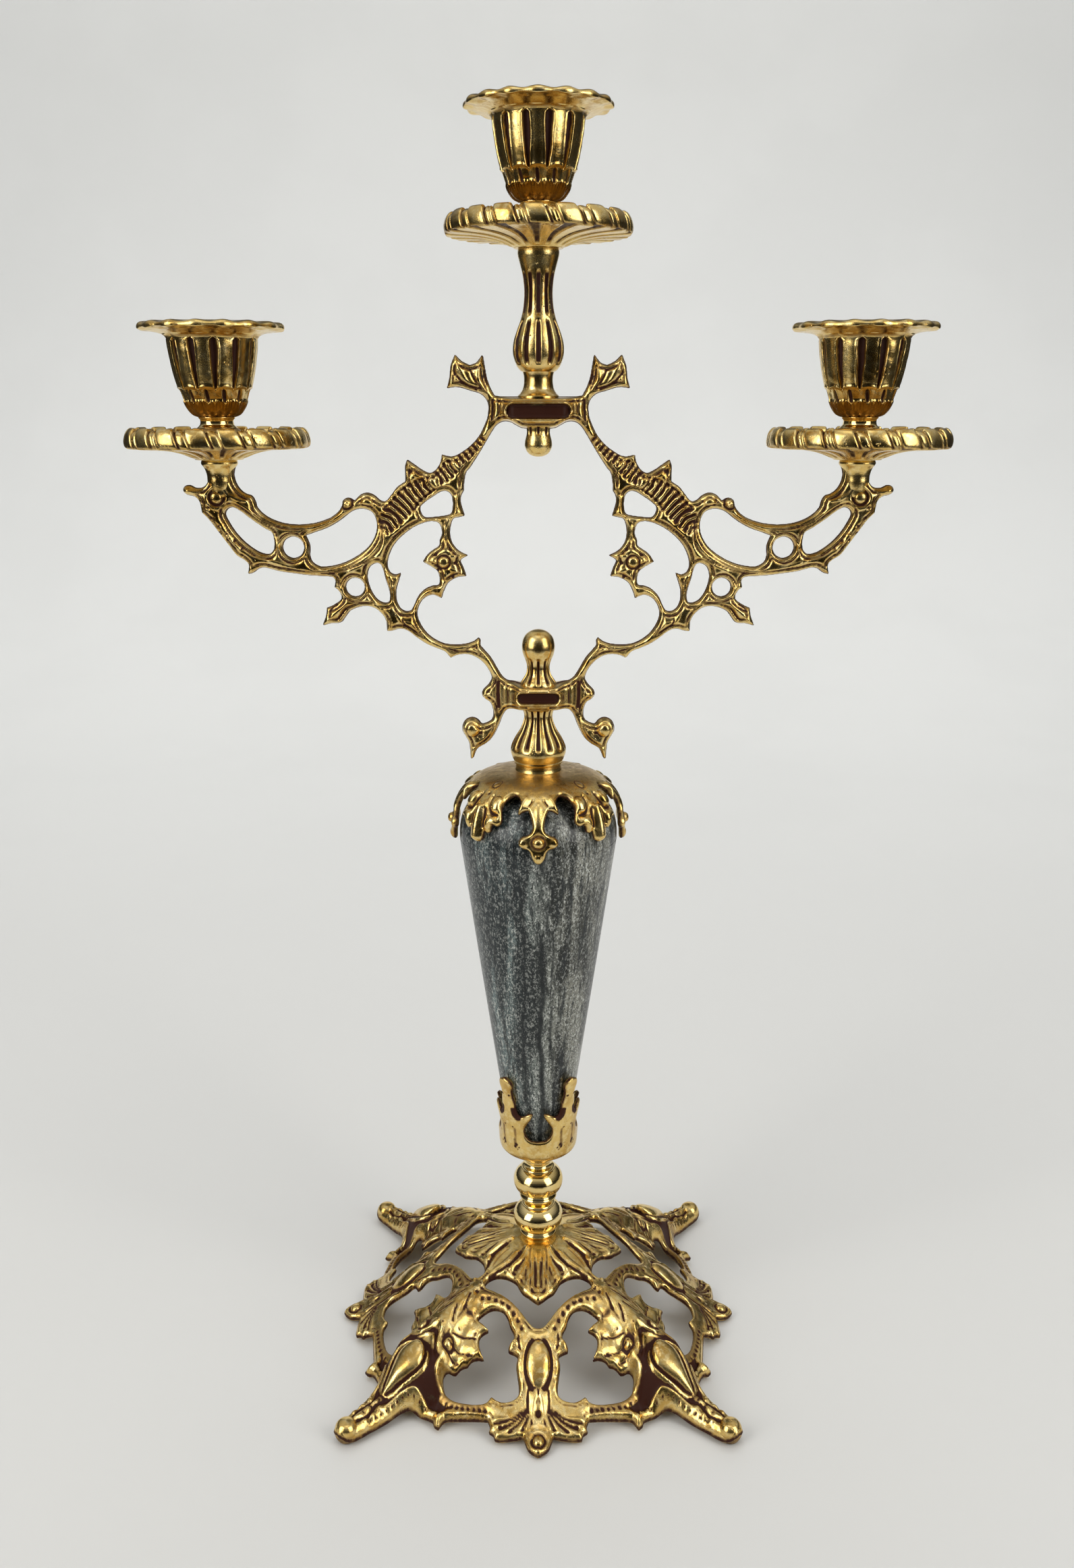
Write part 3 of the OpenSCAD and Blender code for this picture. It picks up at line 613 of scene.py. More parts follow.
def lathe(profile, seg, shift=None, shade=None, centre=(0, 0, 0), fine=None, push=None):
    """Revolves (r, z) stations. shift(theta, r, z) gives a new r, push a move along the profile's
    normal; shade gives the dark value."""
    p = np.asarray(profile, float)
    if fine:
        ln = np.r_[0, np.cumsum(np.hypot(*np.diff(p, axis=0).T))]
        s = np.unique(np.r_[ln, np.arange(0, ln[-1], fine)])
        s = s[np.r_[True, np.diff(s) > 0.02]]
        p = np.stack([np.interp(s, ln, p[:, 0]), np.interp(s, ln, p[:, 1])], 1)
    n = len(p)
    th = np.arange(seg) * 2 * np.pi / seg
    R = np.repeat(p[:, :1], seg, 1)
    Z = np.repeat(p[:, 1:2], seg, 1)
    T = np.repeat(th[None], n, 0)
    D = shade(T, R, Z) if shade else np.zeros_like(R)
    if shift:
        R = shift(T, R, Z)
    if push:
        g = push(T, R, Z)
        dr, dz = np.gradient(p[:, 0]), np.gradient(p[:, 1])
        size = np.maximum(np.hypot(dr, dz), 1e-9)
        R, Z = R + g * (dz / size)[:, None], Z - g * (dr / size)[:, None]
    V = np.stack([centre[0] + R * np.sin(T), centre[1] - R * np.cos(T), centre[2] + Z], -1).reshape(-1, 3)
    i = np.arange(n - 1)[:, None] * seg
    j = np.arange(seg)[None]
    k = (j + 1) % seg
    Q = np.stack([i + j, i + seg + j, i + seg + k, i + k], -1).reshape(-1, 4)[:, ::-1]
    return V, Q, D.ravel()


def rounded(points, n=6):
    """Smooth profile through (r, z) stations; a third value makes a sharp corner."""
    out = []
    seg = [points[0]]
    for q in points[1:]:
        seg.append(q)
        if len(q) > 2:
            out.append(spline([s[:2] for s in seg], n)[:-1])
            seg = [q]
    out.append(spline([s[:2] for s in seg], n) if len(seg) > 1 else np.array([seg[0][:2]], float))
    return np.vstack(out)


def join(parts):
    """Joins (vertices, quads, dark) pieces into one."""
    verts, faces, shade, base = [], [], [], 0
    for v, f, d in parts:
        verts.append(v)
        faces.append(f + base)
        shade.append(d)
        base += len(v)
    return np.vstack(verts), np.vstack(faces), np.concatenate(shade)


# ---------------------------------------------------------------- branch casting

BRANCH_OUTER = [
    (0, 312, 1), (-11.4, 312.0), (-13.3, 313.2), (-14.8, 316.6), (-15.5, 320.2), (-16.1, 323.7, 1),
    (-18, 321.4), (-19.9, 320.7, 1), (-22.2, 321.8), (-24.1, 323.7, 1), (-25.4, 320.5), (-25.8, 317.2),
    (-26.6, 314.2, 1), (-24.2, 314.6), (-22.1, 314.3), (-19.5, 313.5), (-17.1, 312.8), (-15.4, 311.4),
    (-14.6, 309.5), (-14.8, 306.5), (-15.7, 304), (-17.4, 300.8), (-20, 298), (-22.2, 296.4),
    (-24.3, 295.2), (-26.2, 295.0), (-28.4, 295.5, 1), (-28.9, 293.2), (-30.2, 291.2), (-32, 290.2),
    (-34.2, 291.1), (-36.4, 292.6), (-38.6, 294.1, 1), (-39.3, 292.2), (-39.3, 289.4), (-39.4, 287.7, 1),
    (-41.7, 286.2), (-43.6, 283.9), (-45.2, 282.1), (-46.8, 282.3), (-48.6, 283.8), (-50.5, 284.5),
    (-52.6, 284.0), (-54.5, 282.2, 1), (-55.6, 282.9), (-56.8, 283.0), (-58, 282.2), (-58.4, 280.6),
    (-59.6, 278.9), (-61.6, 277.4), (-64, 276.4), (-67, 275.6), (-71, 275.2), (-75, 275.5), (-78.5, 276.5),
    (-81.4, 278.1), (-83.4, 280.2), (-83.9, 282), (-84.8, 283.6), (-86.4, 284.2), (-88, 285.3),
    (-89.3, 287.3), (-89.8, 289.5), (-89.6, 291), (-89.2, 292.2, 1), (-98.8, 292.2, 1), (-97.5, 291),
    (-97.3, 289.6), (-97.8, 287.6), (-99.2, 286.1), (-101.2, 285.9), (-103, 286.7), (-104.6, 286.4),
    (-105.2, 285.2), (-104.2, 284), (-102, 283.4), (-100.6, 282), (-100.2, 280), (-100, 278.6, 1),
    (-97.8, 276.3), (-95.6, 273.2), (-93.2, 269.9), (-90.6, 266.3), (-88.2, 264.7), (-87, 263.2),
    (-87.4, 260.5, 1), (-85.6, 261.0), (-83.8, 262.2), (-81.8, 262.4), (-78, 261.4), (-74, 260.8),
    (-69.4, 260.2), (-65, 259.9), (-62, 259.6), (-61.2, 258.4), (-61.5, 256.6, 1), (-60, 255.1),
    (-59.6, 253), (-62, 251.2), (-64.1, 250.3, 1), (-64.4, 248), (-65.6, 244.9, 1), (-63, 245.6),
    (-60, 245.9), (-58.6, 247.4), (-57, 249.4), (-54.6, 250.5), (-52, 250.9), (-49.6, 250.3),
    (-47.4, 248.5), (-46.2, 246.3), (-46, 243.2, 1), (-44.2, 243.4), (-42, 244), (-39.6, 243.3),
    (-37, 241.3), (-34, 239.3), (-31, 238), (-28.6, 237), (-26.8, 235.0, 1), (-25, 235.8), (-22.6, 236.2),
    (-20, 235.7), (-17.4, 234.1), (-15.4, 231.7), (-14.3, 229), (-15.2, 227), (-16.9, 225.2),
    (-17.3, 223.6), (-16.4, 222.2), (-14.9, 221.2), (-14.1, 219.4), (-13.9, 217.4), (-14.4, 215.8),
    (-15.8, 214.8), (-17.4, 214.4), (-18.3, 215.4), (-19.4, 216.2), (-20.9, 216.4), (-22.5, 215.6),
    (-23.4, 214), (-23.5, 212.2), (-22.5, 210.3), (-21.5, 208.4), (-21.2, 206), (-21.0, 203.1, 1),
    (-20.2, 203.6), (-19.5, 205.4), (-18.6, 206.7), (-16.4, 208), (-14.6, 209.6), (-13.2, 211.8),
    (-12, 214.4), (-10.9, 217.2), (-9.6, 218.8), (-8, 219.2), (-6, 219.2), (0, 219.2, 1), (0, 227, 1),
    (-3, 227), (-5.6, 227.2), (-7.6, 227.8), (-9.6, 228.2), (-11.2, 229.6), (-12.8, 232.2), (-14.4, 235),
    (-16.4, 237.4), (-17.6, 238.9), (-17.6, 240.4), (-18.2, 241.4, 1), (-19.6, 240.2), (-22, 239.4),
    (-25, 239.1), (-28.4, 239.4), (-31.4, 240.7), (-33.9, 242.7), (-35.7, 245.3), (-36.7, 248.2),
    (-36.3, 250.6), (-35, 252.8), (-33.2, 254), (-31.4, 254.2), (-29.2, 253.2, 1), (-28.6, 255.2),
    (-27.4, 257.6), (-25.8, 258.9), (-23.8, 259.7), (-21.6, 259.8, 1), (-22.4, 262.2), (-23.3, 264.4),
    (-22.6, 265.3), (-21.0, 266.1, 1), (-23, 267), (-24.6, 268.2), (-25.9, 270.2), (-26.4, 272.8),
    (-26, 275.4), (-25.2, 277), (-23.6, 277.4), (-21.9, 277.8, 1), (-22.4, 279.4), (-23, 281.6),
    (-22.9, 283.6), (-22, 285.2, 1), (-22, 287), (-21.7, 289), (-21.2, 290.6), (-20.3, 291.6),
    (-19.2, 293.2), (-17.4, 295.9), (-15.6, 298.8), (-13.9, 301.6), (-12.3, 303.8), (-10.4, 304.9),
    (-8.3, 304.8), (-6.2, 303.7), (-4.4, 303.0), (0, 302.9, 1)]

BRANCH_HOLES = [
    [(-92.2, 279.8), (-90.6, 280.2), (-88.4, 279), (-85, 276.4), (-81.8, 274.2), (-79.6, 272.9),
     (-79.0, 270.6), (-79.2, 268), (-80.4, 266.6), (-82.4, 266.7), (-84.6, 267.7), (-87.4, 269.8),
     (-90, 272.6), (-92, 275.8), (-93, 278.2)],
    [(-69.4, 272, 1), (-68.3, 269), (-68.4, 266), (-67.6, 264), (-65.4, 262.8), (-62.6, 262.9),
     (-59.7, 263.5), (-56.8, 264.6), (-53.6, 266.4), (-50.8, 268.7), (-49, 271.4), (-48.2, 274),
     (-48.3, 276.6), (-49.3, 278.7), (-51.2, 279.7), (-53.4, 279.8), (-55.6, 279), (-58, 277.2),
     (-60.4, 275.6), (-63.4, 274.1), (-66.6, 273)],
    [(-48.7, 263.8), (-47.4, 263.4), (-46.6, 261.6), (-46, 259), (-45.2, 256.4), (-44.8, 254),
     (-45.2, 252.2), (-46.6, 251.9), (-48.6, 252.9), (-50.3, 255.4), (-51.3, 258.6), (-51.3, 261),
     (-50.4, 262.9)],
    [(-35.1, 280.2), (-33.9, 281.6), (-31.6, 283.2), (-28.9, 284.8), (-27, 284.9), (-25.7, 283.6),
     (-25.4, 280.8), (-25.9, 278.6), (-27.4, 277.9), (-30.4, 277.5), (-33.4, 277.3), (-34.6, 278.2)],
    [(-29, 274.4), (-29.9, 275.8), (-32, 276.2), (-34.6, 275.6), (-37.6, 274.2), (-40.6, 272),
     (-43.2, 269.2), (-44.8, 266), (-45.3, 263.2), (-44.6, 261.2), (-43, 260.4), (-41.2, 261, 1),
     (-42, 258.6), (-42.8, 256), (-42.9, 253), (-42, 250.6), (-40.4, 249.4), (-38.6, 249.6),
     (-37.4, 251.6), (-36.2, 254), (-34.2, 256), (-32, 257), (-30, 257.4), (-29.8, 259.6),
     (-30.4, 261.4), (-32.2, 262.8), (-34.7, 264.2, 1), (-33.2, 266.4), (-31.4, 267.8), (-29.7, 269),
     (-29.5, 270.6), (-28.8, 272.4)]]


def circle_loop(u, v, r, n=40):
    a = np.linspace(0, 2 * np.pi, n + 1)
    return np.stack([u + r * np.cos(a), v + r * np.sin(a)], 1)


def branch_details(r):
    # ribbed horn, with the leaf folds along its back
    r.ribs([(-46.4, 273.6, 2.4), (-43.4, 277.6, 3.9), (-39.8, 281.6, 4.1), (-35.8, 284.9, 3.6),
           (-31.4, 287.6, 2.6)], 1.75, 1.3)
    r.ribs([(-31.0, 288.0, 2.4), (-27.6, 290.4, 3.1), (-24.6, 292.6, 2.4)], 1.5, 1.1)
    r.ribs([(-24.6, 292.8, 1.9), (-20.8, 295.7, 1.7), (-17.8, 298.4, 1.4), (-15.4, 301.4, 1.0)], 1.7, 1.1)
    r.crests(
        (0.55, 0.45, -32.2, 289.6, -35.6, 289.4, -38.4, 293.6),
        (0.45, 0.35, -36.6, 288.0, -38.4, 289.4, -38.9, 292.8))
    r.pit(-37.4, 290.8, 0.8, 0.8)
    r.crests((0.4, 0.4, -24.4, 292.0, -24.8, 293.8, -27.8, 295.0))
    # beads on the back of the arm
    r.bump(-50.6, 282.6, 1.9, 0.7)
    r.bump(-56.7, 281.5, 1.5, 0.8, sink=0.35)
    r.crests((0.25, 0.4, -45.6, 281.4, -48.6, 281.6, -54, 280.8))
    # reeded lines round the big kidney opening and out along both strands
    r.crests(
        (0.38, 0.30, -46.9, 279.4, -46.8, 275, -47.3, 271, -49.6, 267.4, -53.5, 265, -59.5, 262.3,
         -65.5, 261.4, -72, 262.2, -79, 264.4, -85.4, 266.2),
        (0.32, 0.28, -45.7, 274.4, -46.0, 270, -47.6, 266.4, -51.6, 263.8, -57.4, 261.4),
        (-0.4, 0.22, -46.3, 277, -46.3, 273, -46.8, 269, -50.2, 265.4, -55, 263, -60.5, 261.2, -66, 260.9),
        (0.3, 0.35, -59.5, 277.9, -64.5, 275.2, -71, 274.1, -77.6, 275.4, -82.4, 278.6))
    for k in range(9):
        t = k / 8
        r.pit(-44.9 + 6.4 * t, 270.6 + 3.6 * t ** 0.8, 0.28, 0.3)
    # engraved zig-zag down the outer edge of the arm
    for k in range(10):
        t = k / 9
        u, v = -97.4 + 9.4 * t, 276.9 - 10.3 * t
        r.pit(u + 0.55 * (-1) ** k, v + 0.4 * (-1) ** k, 0.42, 0.45)
    r.crests((0.4, 0.32, -96.6, 277.4, -92.4, 271.4, -88, 267.4))
    # scroll eye under the socket
    r.bump(-95.0, 283.2, 1.9, 0.9, sink=0.6)
    r.ring(-95.0, 283.2, 3.2, 0.45, 0.45)
    r.crests(
        (0.45, 0.45, -91.6, 284.2, -88.6, 282.6, -85.2, 282.4),
        (0.35, 0.35, -92, 281.6, -88.6, 281.2, -85.4, 279.4, -81.8, 276.6),
        (0.5, 0.6, -99.2, 284.6, -102, 284.8, -104.6, 285.2))
    r.pit(-97.6, 280.4, 0.5, 0.5)
    # ring rims
    r.ring(-73.3, 268.5, 4.1, 0.5, 0.45)
    r.ring(-55.2, 256.6, 3.7, 0.5, 0.45)
    r.crests(
        (0.4, 0.32, -78, 272.6, -77.8, 268.5, -78.2, 265.4),
        (0.4, 0.32, -68.9, 272.6, -68.9, 268.5, -69.2, 264.4))
    # leaf under the small ring
    r.crests(
        (0.4, 0.4, -57.4, 252.4, -60.6, 249.6, -64.2, 246.2),
        (-0.4, 0.3, -57.8, 251, -60, 248, -61.8, 246.2),
        (-0.4, 0.3, -59.6, 252, -62, 250.6, -63.6, 249),
        (0.35, 0.35, -50.4, 252.2, -48.4, 250.6, -46.2, 249.4))
    # slim strand and the leaf at the turn of the lower scroll
    r.crests(
        (0.35, 0.35, -44.9, 262, -44.2, 257.6, -43.8, 252.4),
        (0.35, 0.35, -41.9, 260.4, -43.2, 257),
        (0.45, 0.5, -43, 250, -41.4, 246.6, -37.8, 245.6),
        (0.4, 0.35, -44.6, 247.6, -44.8, 245.6, -44.9, 244),
        (-0.5, 0.4, -41.4, 248, -40.2, 245.4, -36, 242.6),
        (0.42, 0.38, -38.2, 248.6, -36.4, 244.6, -32.6, 241, -27.4, 239, -21.4, 238.6, -16.4, 236.4,
         -13, 231.6, -11.6, 227),
        (-0.3, 0.3, -30, 239.2, -25, 237.4, -20.6, 237.2))
    r.bump(-18.0, 237.8, 1.0, 0.4)
    # star
    r.bump(-28.3, 264.3, 1.7, 0.7, sink=0.45)
    r.crests(
        (0.45, 0.4, -27.2, 265.6, -24, 266.4, -21.8, 266.1),
        (0.45, 0.4, -27, 262.6, -24.2, 261.2, -22.2, 260.2),
        (0.4, 0.4, -30, 264.4, -32.4, 264.4, -34, 264.3),
        (0.45, 0.4, -28.2, 261.8, -28, 258.6, -29.2, 255.4),
        (0.4, 0.36, -27.6, 267.2, -27.6, 271, -27.2, 275.4, -24.4, 278.6, -24, 283, -23.2, 287))
    for u, v in ((-25, 264.0), (-30.2, 261.8), (-30.6, 266.4), (-26.4, 268), (-25.6, 259.8)):
        r.pit(u, v, 0.6, 0.5)
    # top leaf
    r.crests(
        (0.5, 0.45, -14.2, 312.4, -17.4, 316, -16.4, 322.6),
        (0.5, 0.45, -15.4, 312.8, -20.4, 315.6, -23.9, 322.4),
        (0.5, 0.45, -16.6, 312.8, -22, 314.6, -26, 314.6),
        (-0.6, 0.4, -15.8, 313.8, -18.6, 316.8, -19.8, 320),
        (-0.6, 0.4, -17, 313.4, -22, 316, -24.8, 319.4),
        (-0.6, 0.4, -14.6, 314.4, -15.6, 317.6, -15.8, 320),
        (-0.5, 0.4, -13.2, 312, -13.4, 308, -13.6, 304.4),
        (0.5, 0.4, -12.2, 312, -11.9, 308, -12.6, 304.4))
    # diamond beside the lower bar, and the hook with its ball
    r.crests(
        (0.4, 0.35, -13.9, 229.4, -14.5, 224, -13.2, 217.6),
        (-0.5, 0.8, -12.2, 229, -12.4, 224, -12, 219))
    r.bump(-16.2, 223.6, 1.0, 0.5)
    r.crests((0.6, 0.4, -9.9, 228, -9.9, 223.4, -9.8, 218.8))
    r.bump(-20.8, 213.4, 2.7, 1.3)
    r.crests((0.4, 0.4, -11.4, 217.6, -14, 212.6, -18.4, 208.6, -20.6, 204.6))
    r.pit(-17.6, 212.0, 0.6, 0.5)
    # bars
    for z0, z1, half in ((303.0, 312.0, 11.4), (218.4, 228.2, 9.4)):
        at, uu, _ = r.block((-half, z0), (1, z1), 0.5)
        flat = ease(-uu, half + 0.3, half - 0.7)
        r.add[at] += 0.9 * flat + 3.2 * ease(-uu, half - 0.4, half - 4.4)
    r.panel(0, 307.9, 9.4, 2.1, 1.5, 0.5)
    r.panel(0, 223.5, 6.5, 1.65, 1.3, 0.5)


def branch_plate():
    r = Relief(-108, 2, 201, 326)
    r.loop(outline(BRANCH_OUTER))
    for hole in BRANCH_HOLES:
        r.loop(outline(hole), hole=True)
    r.loop(circle_loop(-73.3, 268.5, 3.15), hole=True)
    r.loop(circle_loop(-55.2, 256.6, 2.8), hole=True)
    # the cut down the middle is not an edge
    uu = r.u[:, None]
    d = r.distance()
    mid = (uu > -3.2) & r.inside
    vv = np.broadcast_to(r.v[None], d.shape)
    bar_d = np.min([np.abs(vv - z) for z in (302.9, 312.0, 218.6, 228.0)], axis=0)
    d = np.where(mid, np.minimum(bar_d, FAR), d)
    branch_details(r)
    k = int(round((0 - r.u0) / r.px))
    for a in (d, r.add, r.dark):
        a[k:] = a[2 * k - r.nu:k][::-1]
    body = section(d, 2.7, 2.1, 1.6)
    core = blur(np.where(d > 0, np.minimum(d, 2.4), 0), 5)
    groove = np.exp(-((d - 1.28) / 0.33) ** 2) * ease(core, 0.55, 0.95)
    line = 0.34 * np.exp(-((d - 0.56) / 0.28) ** 2) * ease(core, 0.4, 0.8) - 0.62 * groove
    r.dark = np.maximum(r.dark, 0.5 * groove)
    grow = ease(d, 0.05, 0.6)
    h = body + grow * (line + r.add)
    h = settle(h, d, 0.25 * body, 0.8)
    dark = r.hollows(h, d)
    full = Relief(-108, 108, 201, 326)
    front, shade = (np.vstack([a[:k + 1], a[:k][::-1]]) for a in (h, dark))
    return slab(full, front, front, shade, 0.42, (7.4, 7.4))


def branch_stems():
    parts = []

    def stem(points, *flutes):
        """Adds a turned length. Each row of flutes is (count, bottom, top, depth, dark from)."""
        def on(Z, bottom, top):
            return ease(Z, bottom, bottom + 1.5) * (1 - ease(Z, top - 1.5, top))

        def shift(T, R, Z):
            for n, bottom, top, depth, _ in flutes:
                R = R - depth * on(Z, bottom, top) * np.maximum(np.cos(n * T), 0) ** 1.2
            return R

        def shade(T, R, Z):
            return np.max([on(Z, bottom, top) * ease(np.cos(n * T), start, start + 0.7) * 0.85
                           for n, bottom, top, _, start in flutes], axis=0)
        parts.append(lathe(rounded(points), 160, shift, shade, fine=0.5))

    # lower stem: foot, ring, vase, fluted neck into the lower bar
    stem([(0, 197.02), (7.8, 197.02, 1), (7.95, 197.8), (7.6, 199), (7.05, 200.6), (7.0, 201.8, 1),
          (7.5, 202.2), (7.6, 203, 1), (7.9, 203.4), (8.6, 205.6), (8.4, 207.6), (7.2, 210.2), (5.7, 212.6),
          (4.7, 215), (4.35, 217), (4.8, 218.8), (5.4, 220), (5.4, 222.6)],
         (14, 206.5, 221, 0.75, 0.0))
    # bud over the lower bar
    stem([(5.4, 224.6), (5.6, 227), (4.7, 228.6), (3.85, 230), (3.5, 231.6), (3.55, 233), (3.95, 234.4),
          (4.6, 235.9), (4.98, 237.5), (5.0, 239), (4.7, 240.6), (3.95, 242), (2.8, 243), (1.4, 243.6),
          (0.001, 243.8)],
         (10, 226.6, 235.4, 0.7, 0.15))
    # bud under the upper bar
    stem([(0.001, 294.85), (1.6, 295.1), (3.1, 296), (3.95, 297.7), (3.95, 299.2), (3.6, 300.8),
          (3.45, 302.2), (3.9, 304), (4.8, 305.2), (5, 307)],
         (8, 300.5, 305.5, 0.4, 0.15))
    # upper stem: neck, collar, fluted bulb, fluted neck, seat
    stem([(5.8, 309.5), (6.1, 311.8), (5.3, 312.8), (4.5, 314.2), (4.2, 316), (4.25, 317.6), (4.6, 318.8, 1),
          (5.3, 319.2), (6.4, 320.6), (7.25, 322.8), (7.5, 325), (7.2, 327.4), (6.3, 330.2),
          (5.2, 333), (4.5, 335.6), (4.15, 338.4), (4.1, 341.4), (4.5, 345), (5.3, 348.2), (5.85, 350.2, 1),
          (5.95, 351.2), (5.8, 352.15, 1), (2.1, 352.15)],
         (12, 320.4, 333.4, 0.75, -0.1), (11, 333.8, 346.6, 0.5, -0.5))
    # seats of the side pans
    for x in (-94.0, 94.0):
        v, f, d = lathe(rounded([(0.001, 283), (2.6, 283.2), (3.3, 285.4), (3.75, 287.4), (3.85, 289.6),
                                 (4.4, 291.4), (5.2, 292.6), (5.35, 293.2), (5.1, 293.95, 1), (2.1, 293.95)]),
                        96, fine=0.5)
        parts.append((v + np.array([x, 0, 0]), f, d))
    return parts


def vertex_normals(verts, quads):
    a, b, c, d = (verts[quads[:, k]] for k in range(4))
    n = np.cross(c - a, d - b)
    out = np.zeros_like(verts)
    for k in range(4):
        np.add.at(out, quads[:, k], n)
    return out / np.maximum(np.linalg.norm(out, axis=1, keepdims=True), 1e-12)


def take(faces, keep, *arrays):
    """The faces marked keep, renumbered, with their share of each per-vertex array."""
    faces = faces[keep]
    used = np.unique(faces)
    remap = np.full(len(arrays[0]), -1)
    remap[used] = np.arange(len(used))
    return (remap[faces],) + tuple(a[used] for a in arrays)


def build_branch(material):
    """The one casting, as three pieces so that each stays light: the shading runs on across the cuts."""
    v, f, d = branch_plate()
    v = np.stack([v[:, 0], v[:, 2], v[:, 1]], 1)
    verts, faces, shade = join([(v, f, d)] + branch_stems())
    normal = vertex_normals(verts, faces)
    x = verts[faces, 0].mean(1)
    for name, keep in (("branch_left", x < -38), ("branch_middle", np.abs(x) <= 38),
                       ("branch_right", x > 38)):
        q, vv, nn, dd = take(faces, keep, verts, normal, shade)
        obj = make_mesh(name, vv, q, dark=dd)
        obj.data.normals_split_custom_set_from_vertices(nn.tolist())
        finish_piece(obj, STAND, "branch_casting", material)


# ---------------------------------------------------------------- base casting

BASE_OUTER = [
    (0, 68.3, 1), (1.6, 67.4), (3.2, 65.8), (4.0, 63.8), (4.7, 61.9, 1), (6.6, 62.3), (9, 62.5), (11.4, 62.6),
    (13.5, 62.3, 1), (14.0, 60.8), (15.4, 59.8, 1), (15.0, 58.4), (15.8, 56.4, 1), (20.1, 55.7), (25.2, 55.0),
    (28.6, 54.6), (30.0, 55.4), (31.2, 57.2, 1), (32.6, 56.0), (33.2, 54.4), (35.4, 53.0), (38, 51.9),
    (40.6, 51.6), (43.4, 52.5), (46.4, 54.4), (49.4, 56.6), (52.2, 58.7), (54.8, 60.9), (57.0, 62.6),
    (59.2, 63.3), (61.2, 62.9), (62.5, 61.4, 1), (72, 62, 1), (66, 42, 1), (20, 4, 1), (6, -6, 1),
    (-7, -6, 1), (-8, 58, 1), (-4.7, 61.9, 1), (-3.2, 65.8, 1)]

BASE_HOLES = [
    # crescent between flower and ring
    [(0, 28.9, 1), (1.6, 27.9), (3.3, 26.5), (4.2, 25.9, 1), (5.3, 25.0), (6.4, 23.2, 1), (7.2, 21.6),
     (8.8, 20.1), (11.2, 18.7), (14.2, 18), (16.6, 18.8), (17.6, 20.6), (16.7, 22.3), (13.3, 24.4),
     (9.8, 27.1), (6.2, 30.6), (3.2, 33.8), (1.4, 35.4), (0, 35.8, 1), (-1.4, 35.4), (-3.2, 33.8),
     (-5.2, 31.8, 1), (-5.2, 26.2, 1), (-3.3, 26.5), (-1.6, 27.9)],
    # kidney between baluster, leaf and lower ring
    [(6.1, 50), (6.6, 47.1), (7, 44.9), (6.6, 42.8), (7.8, 41.9), (9.6, 41.2, 1), (9.3, 39.6), (8.0, 38.2),
     (7.9, 36.6), (9.1, 34.5), (9.9, 32.3), (11.7, 30.1), (14.5, 29), (17.2, 29.2), (19.5, 30.4),
     (18.9, 31.6), (17.4, 33), (15.8, 34.7, 1), (17.2, 34.9), (18.8, 35.9), (19, 38), (18.2, 40.2),
     (17.2, 42.2, 1), (19, 41.4), (21.2, 41.3), (22.6, 42.3, 1), (24.5, 42.2), (26.2, 43.2, 1),
     (28.6, 42.8), (30.2, 44.6), (30.0, 46.2), (28.8, 48.1), (26, 50.2), (21.8, 51.7), (18.4, 52.3),
     (16.2, 52.1), (14.8, 51.1), (13.2, 52), (11, 52.8), (8, 52.6), (6.4, 51.6)]]

# height of the web by distance from the axis, and height and half width of a leg by distance along it
WEB_LINE = [(0, 35), (8, 34.5), (20, 31), (30, 27.3), (34.5, 24), (40, 20.5), (45, 16.8), (50, 12.5),
            (55, 8.3), (58, 6), (62, 4.2), (68.5, 3), (90, 3)]
LEG_LINE = [(0, 35.4), (8, 34.5), (26, 30), (30, 28.5), (35, 26.8), (40, 24.3), (44, 21.7), (48, 19),
            (55, 16.5), (60, 14), (65, 10.5), (70, 7.5), (75, 6), (80, 5.5), (100, 5)]
LEG_WIDE = [(0, 3), (25, 4), (32, 5), (42, 6.5), (50, 9.0), (56, 10.4), (62, 9.0), (67, 6.6), (72, 5.3),
            (77, 4.7), (81, 4.3), (100, 3.6)]


def line_at(table, x):
    t = np.asarray(table, float)
    return np.interp(x, t[:, 0], t[:, 1])


def base_ground(x, y):
    """Height of the middle of the casting at a plan point."""
    r = np.hypot(x, y)
    a, b = np.abs(x), np.abs(y)
    along, across = (a + b) * math.sqrt(0.5), np.abs(a - b) * math.sqrt(0.5)
    w = 1 - ease(across - line_at(LEG_WIDE, along), -2.5, 2.5)
    w = w * ease(along, 20, 34)
    web = line_at(spline(WEB_LINE, 4), r)
    leg = line_at(spline(LEG_LINE, 4), along)
    crown = 1.6 * np.maximum(1 - (across / np.maximum(line_at(LEG_WIDE, along), 1)) ** 2, -0.5)
    return web * (1 - w) + (leg + crown * ease(along, 30, 46) - 1.2) * w - 1.5


def leg_point(s, off=0.0):
    """Plan point of the octant on the leg: s out along it, off to the side."""
    q = math.sqrt(0.5)
    return (s - off) * q, (s + off) * q


def leg_run(*stations):
    """Crest points from (s, side offset)."""
    return [leg_point(s, off) for s, off in stations]


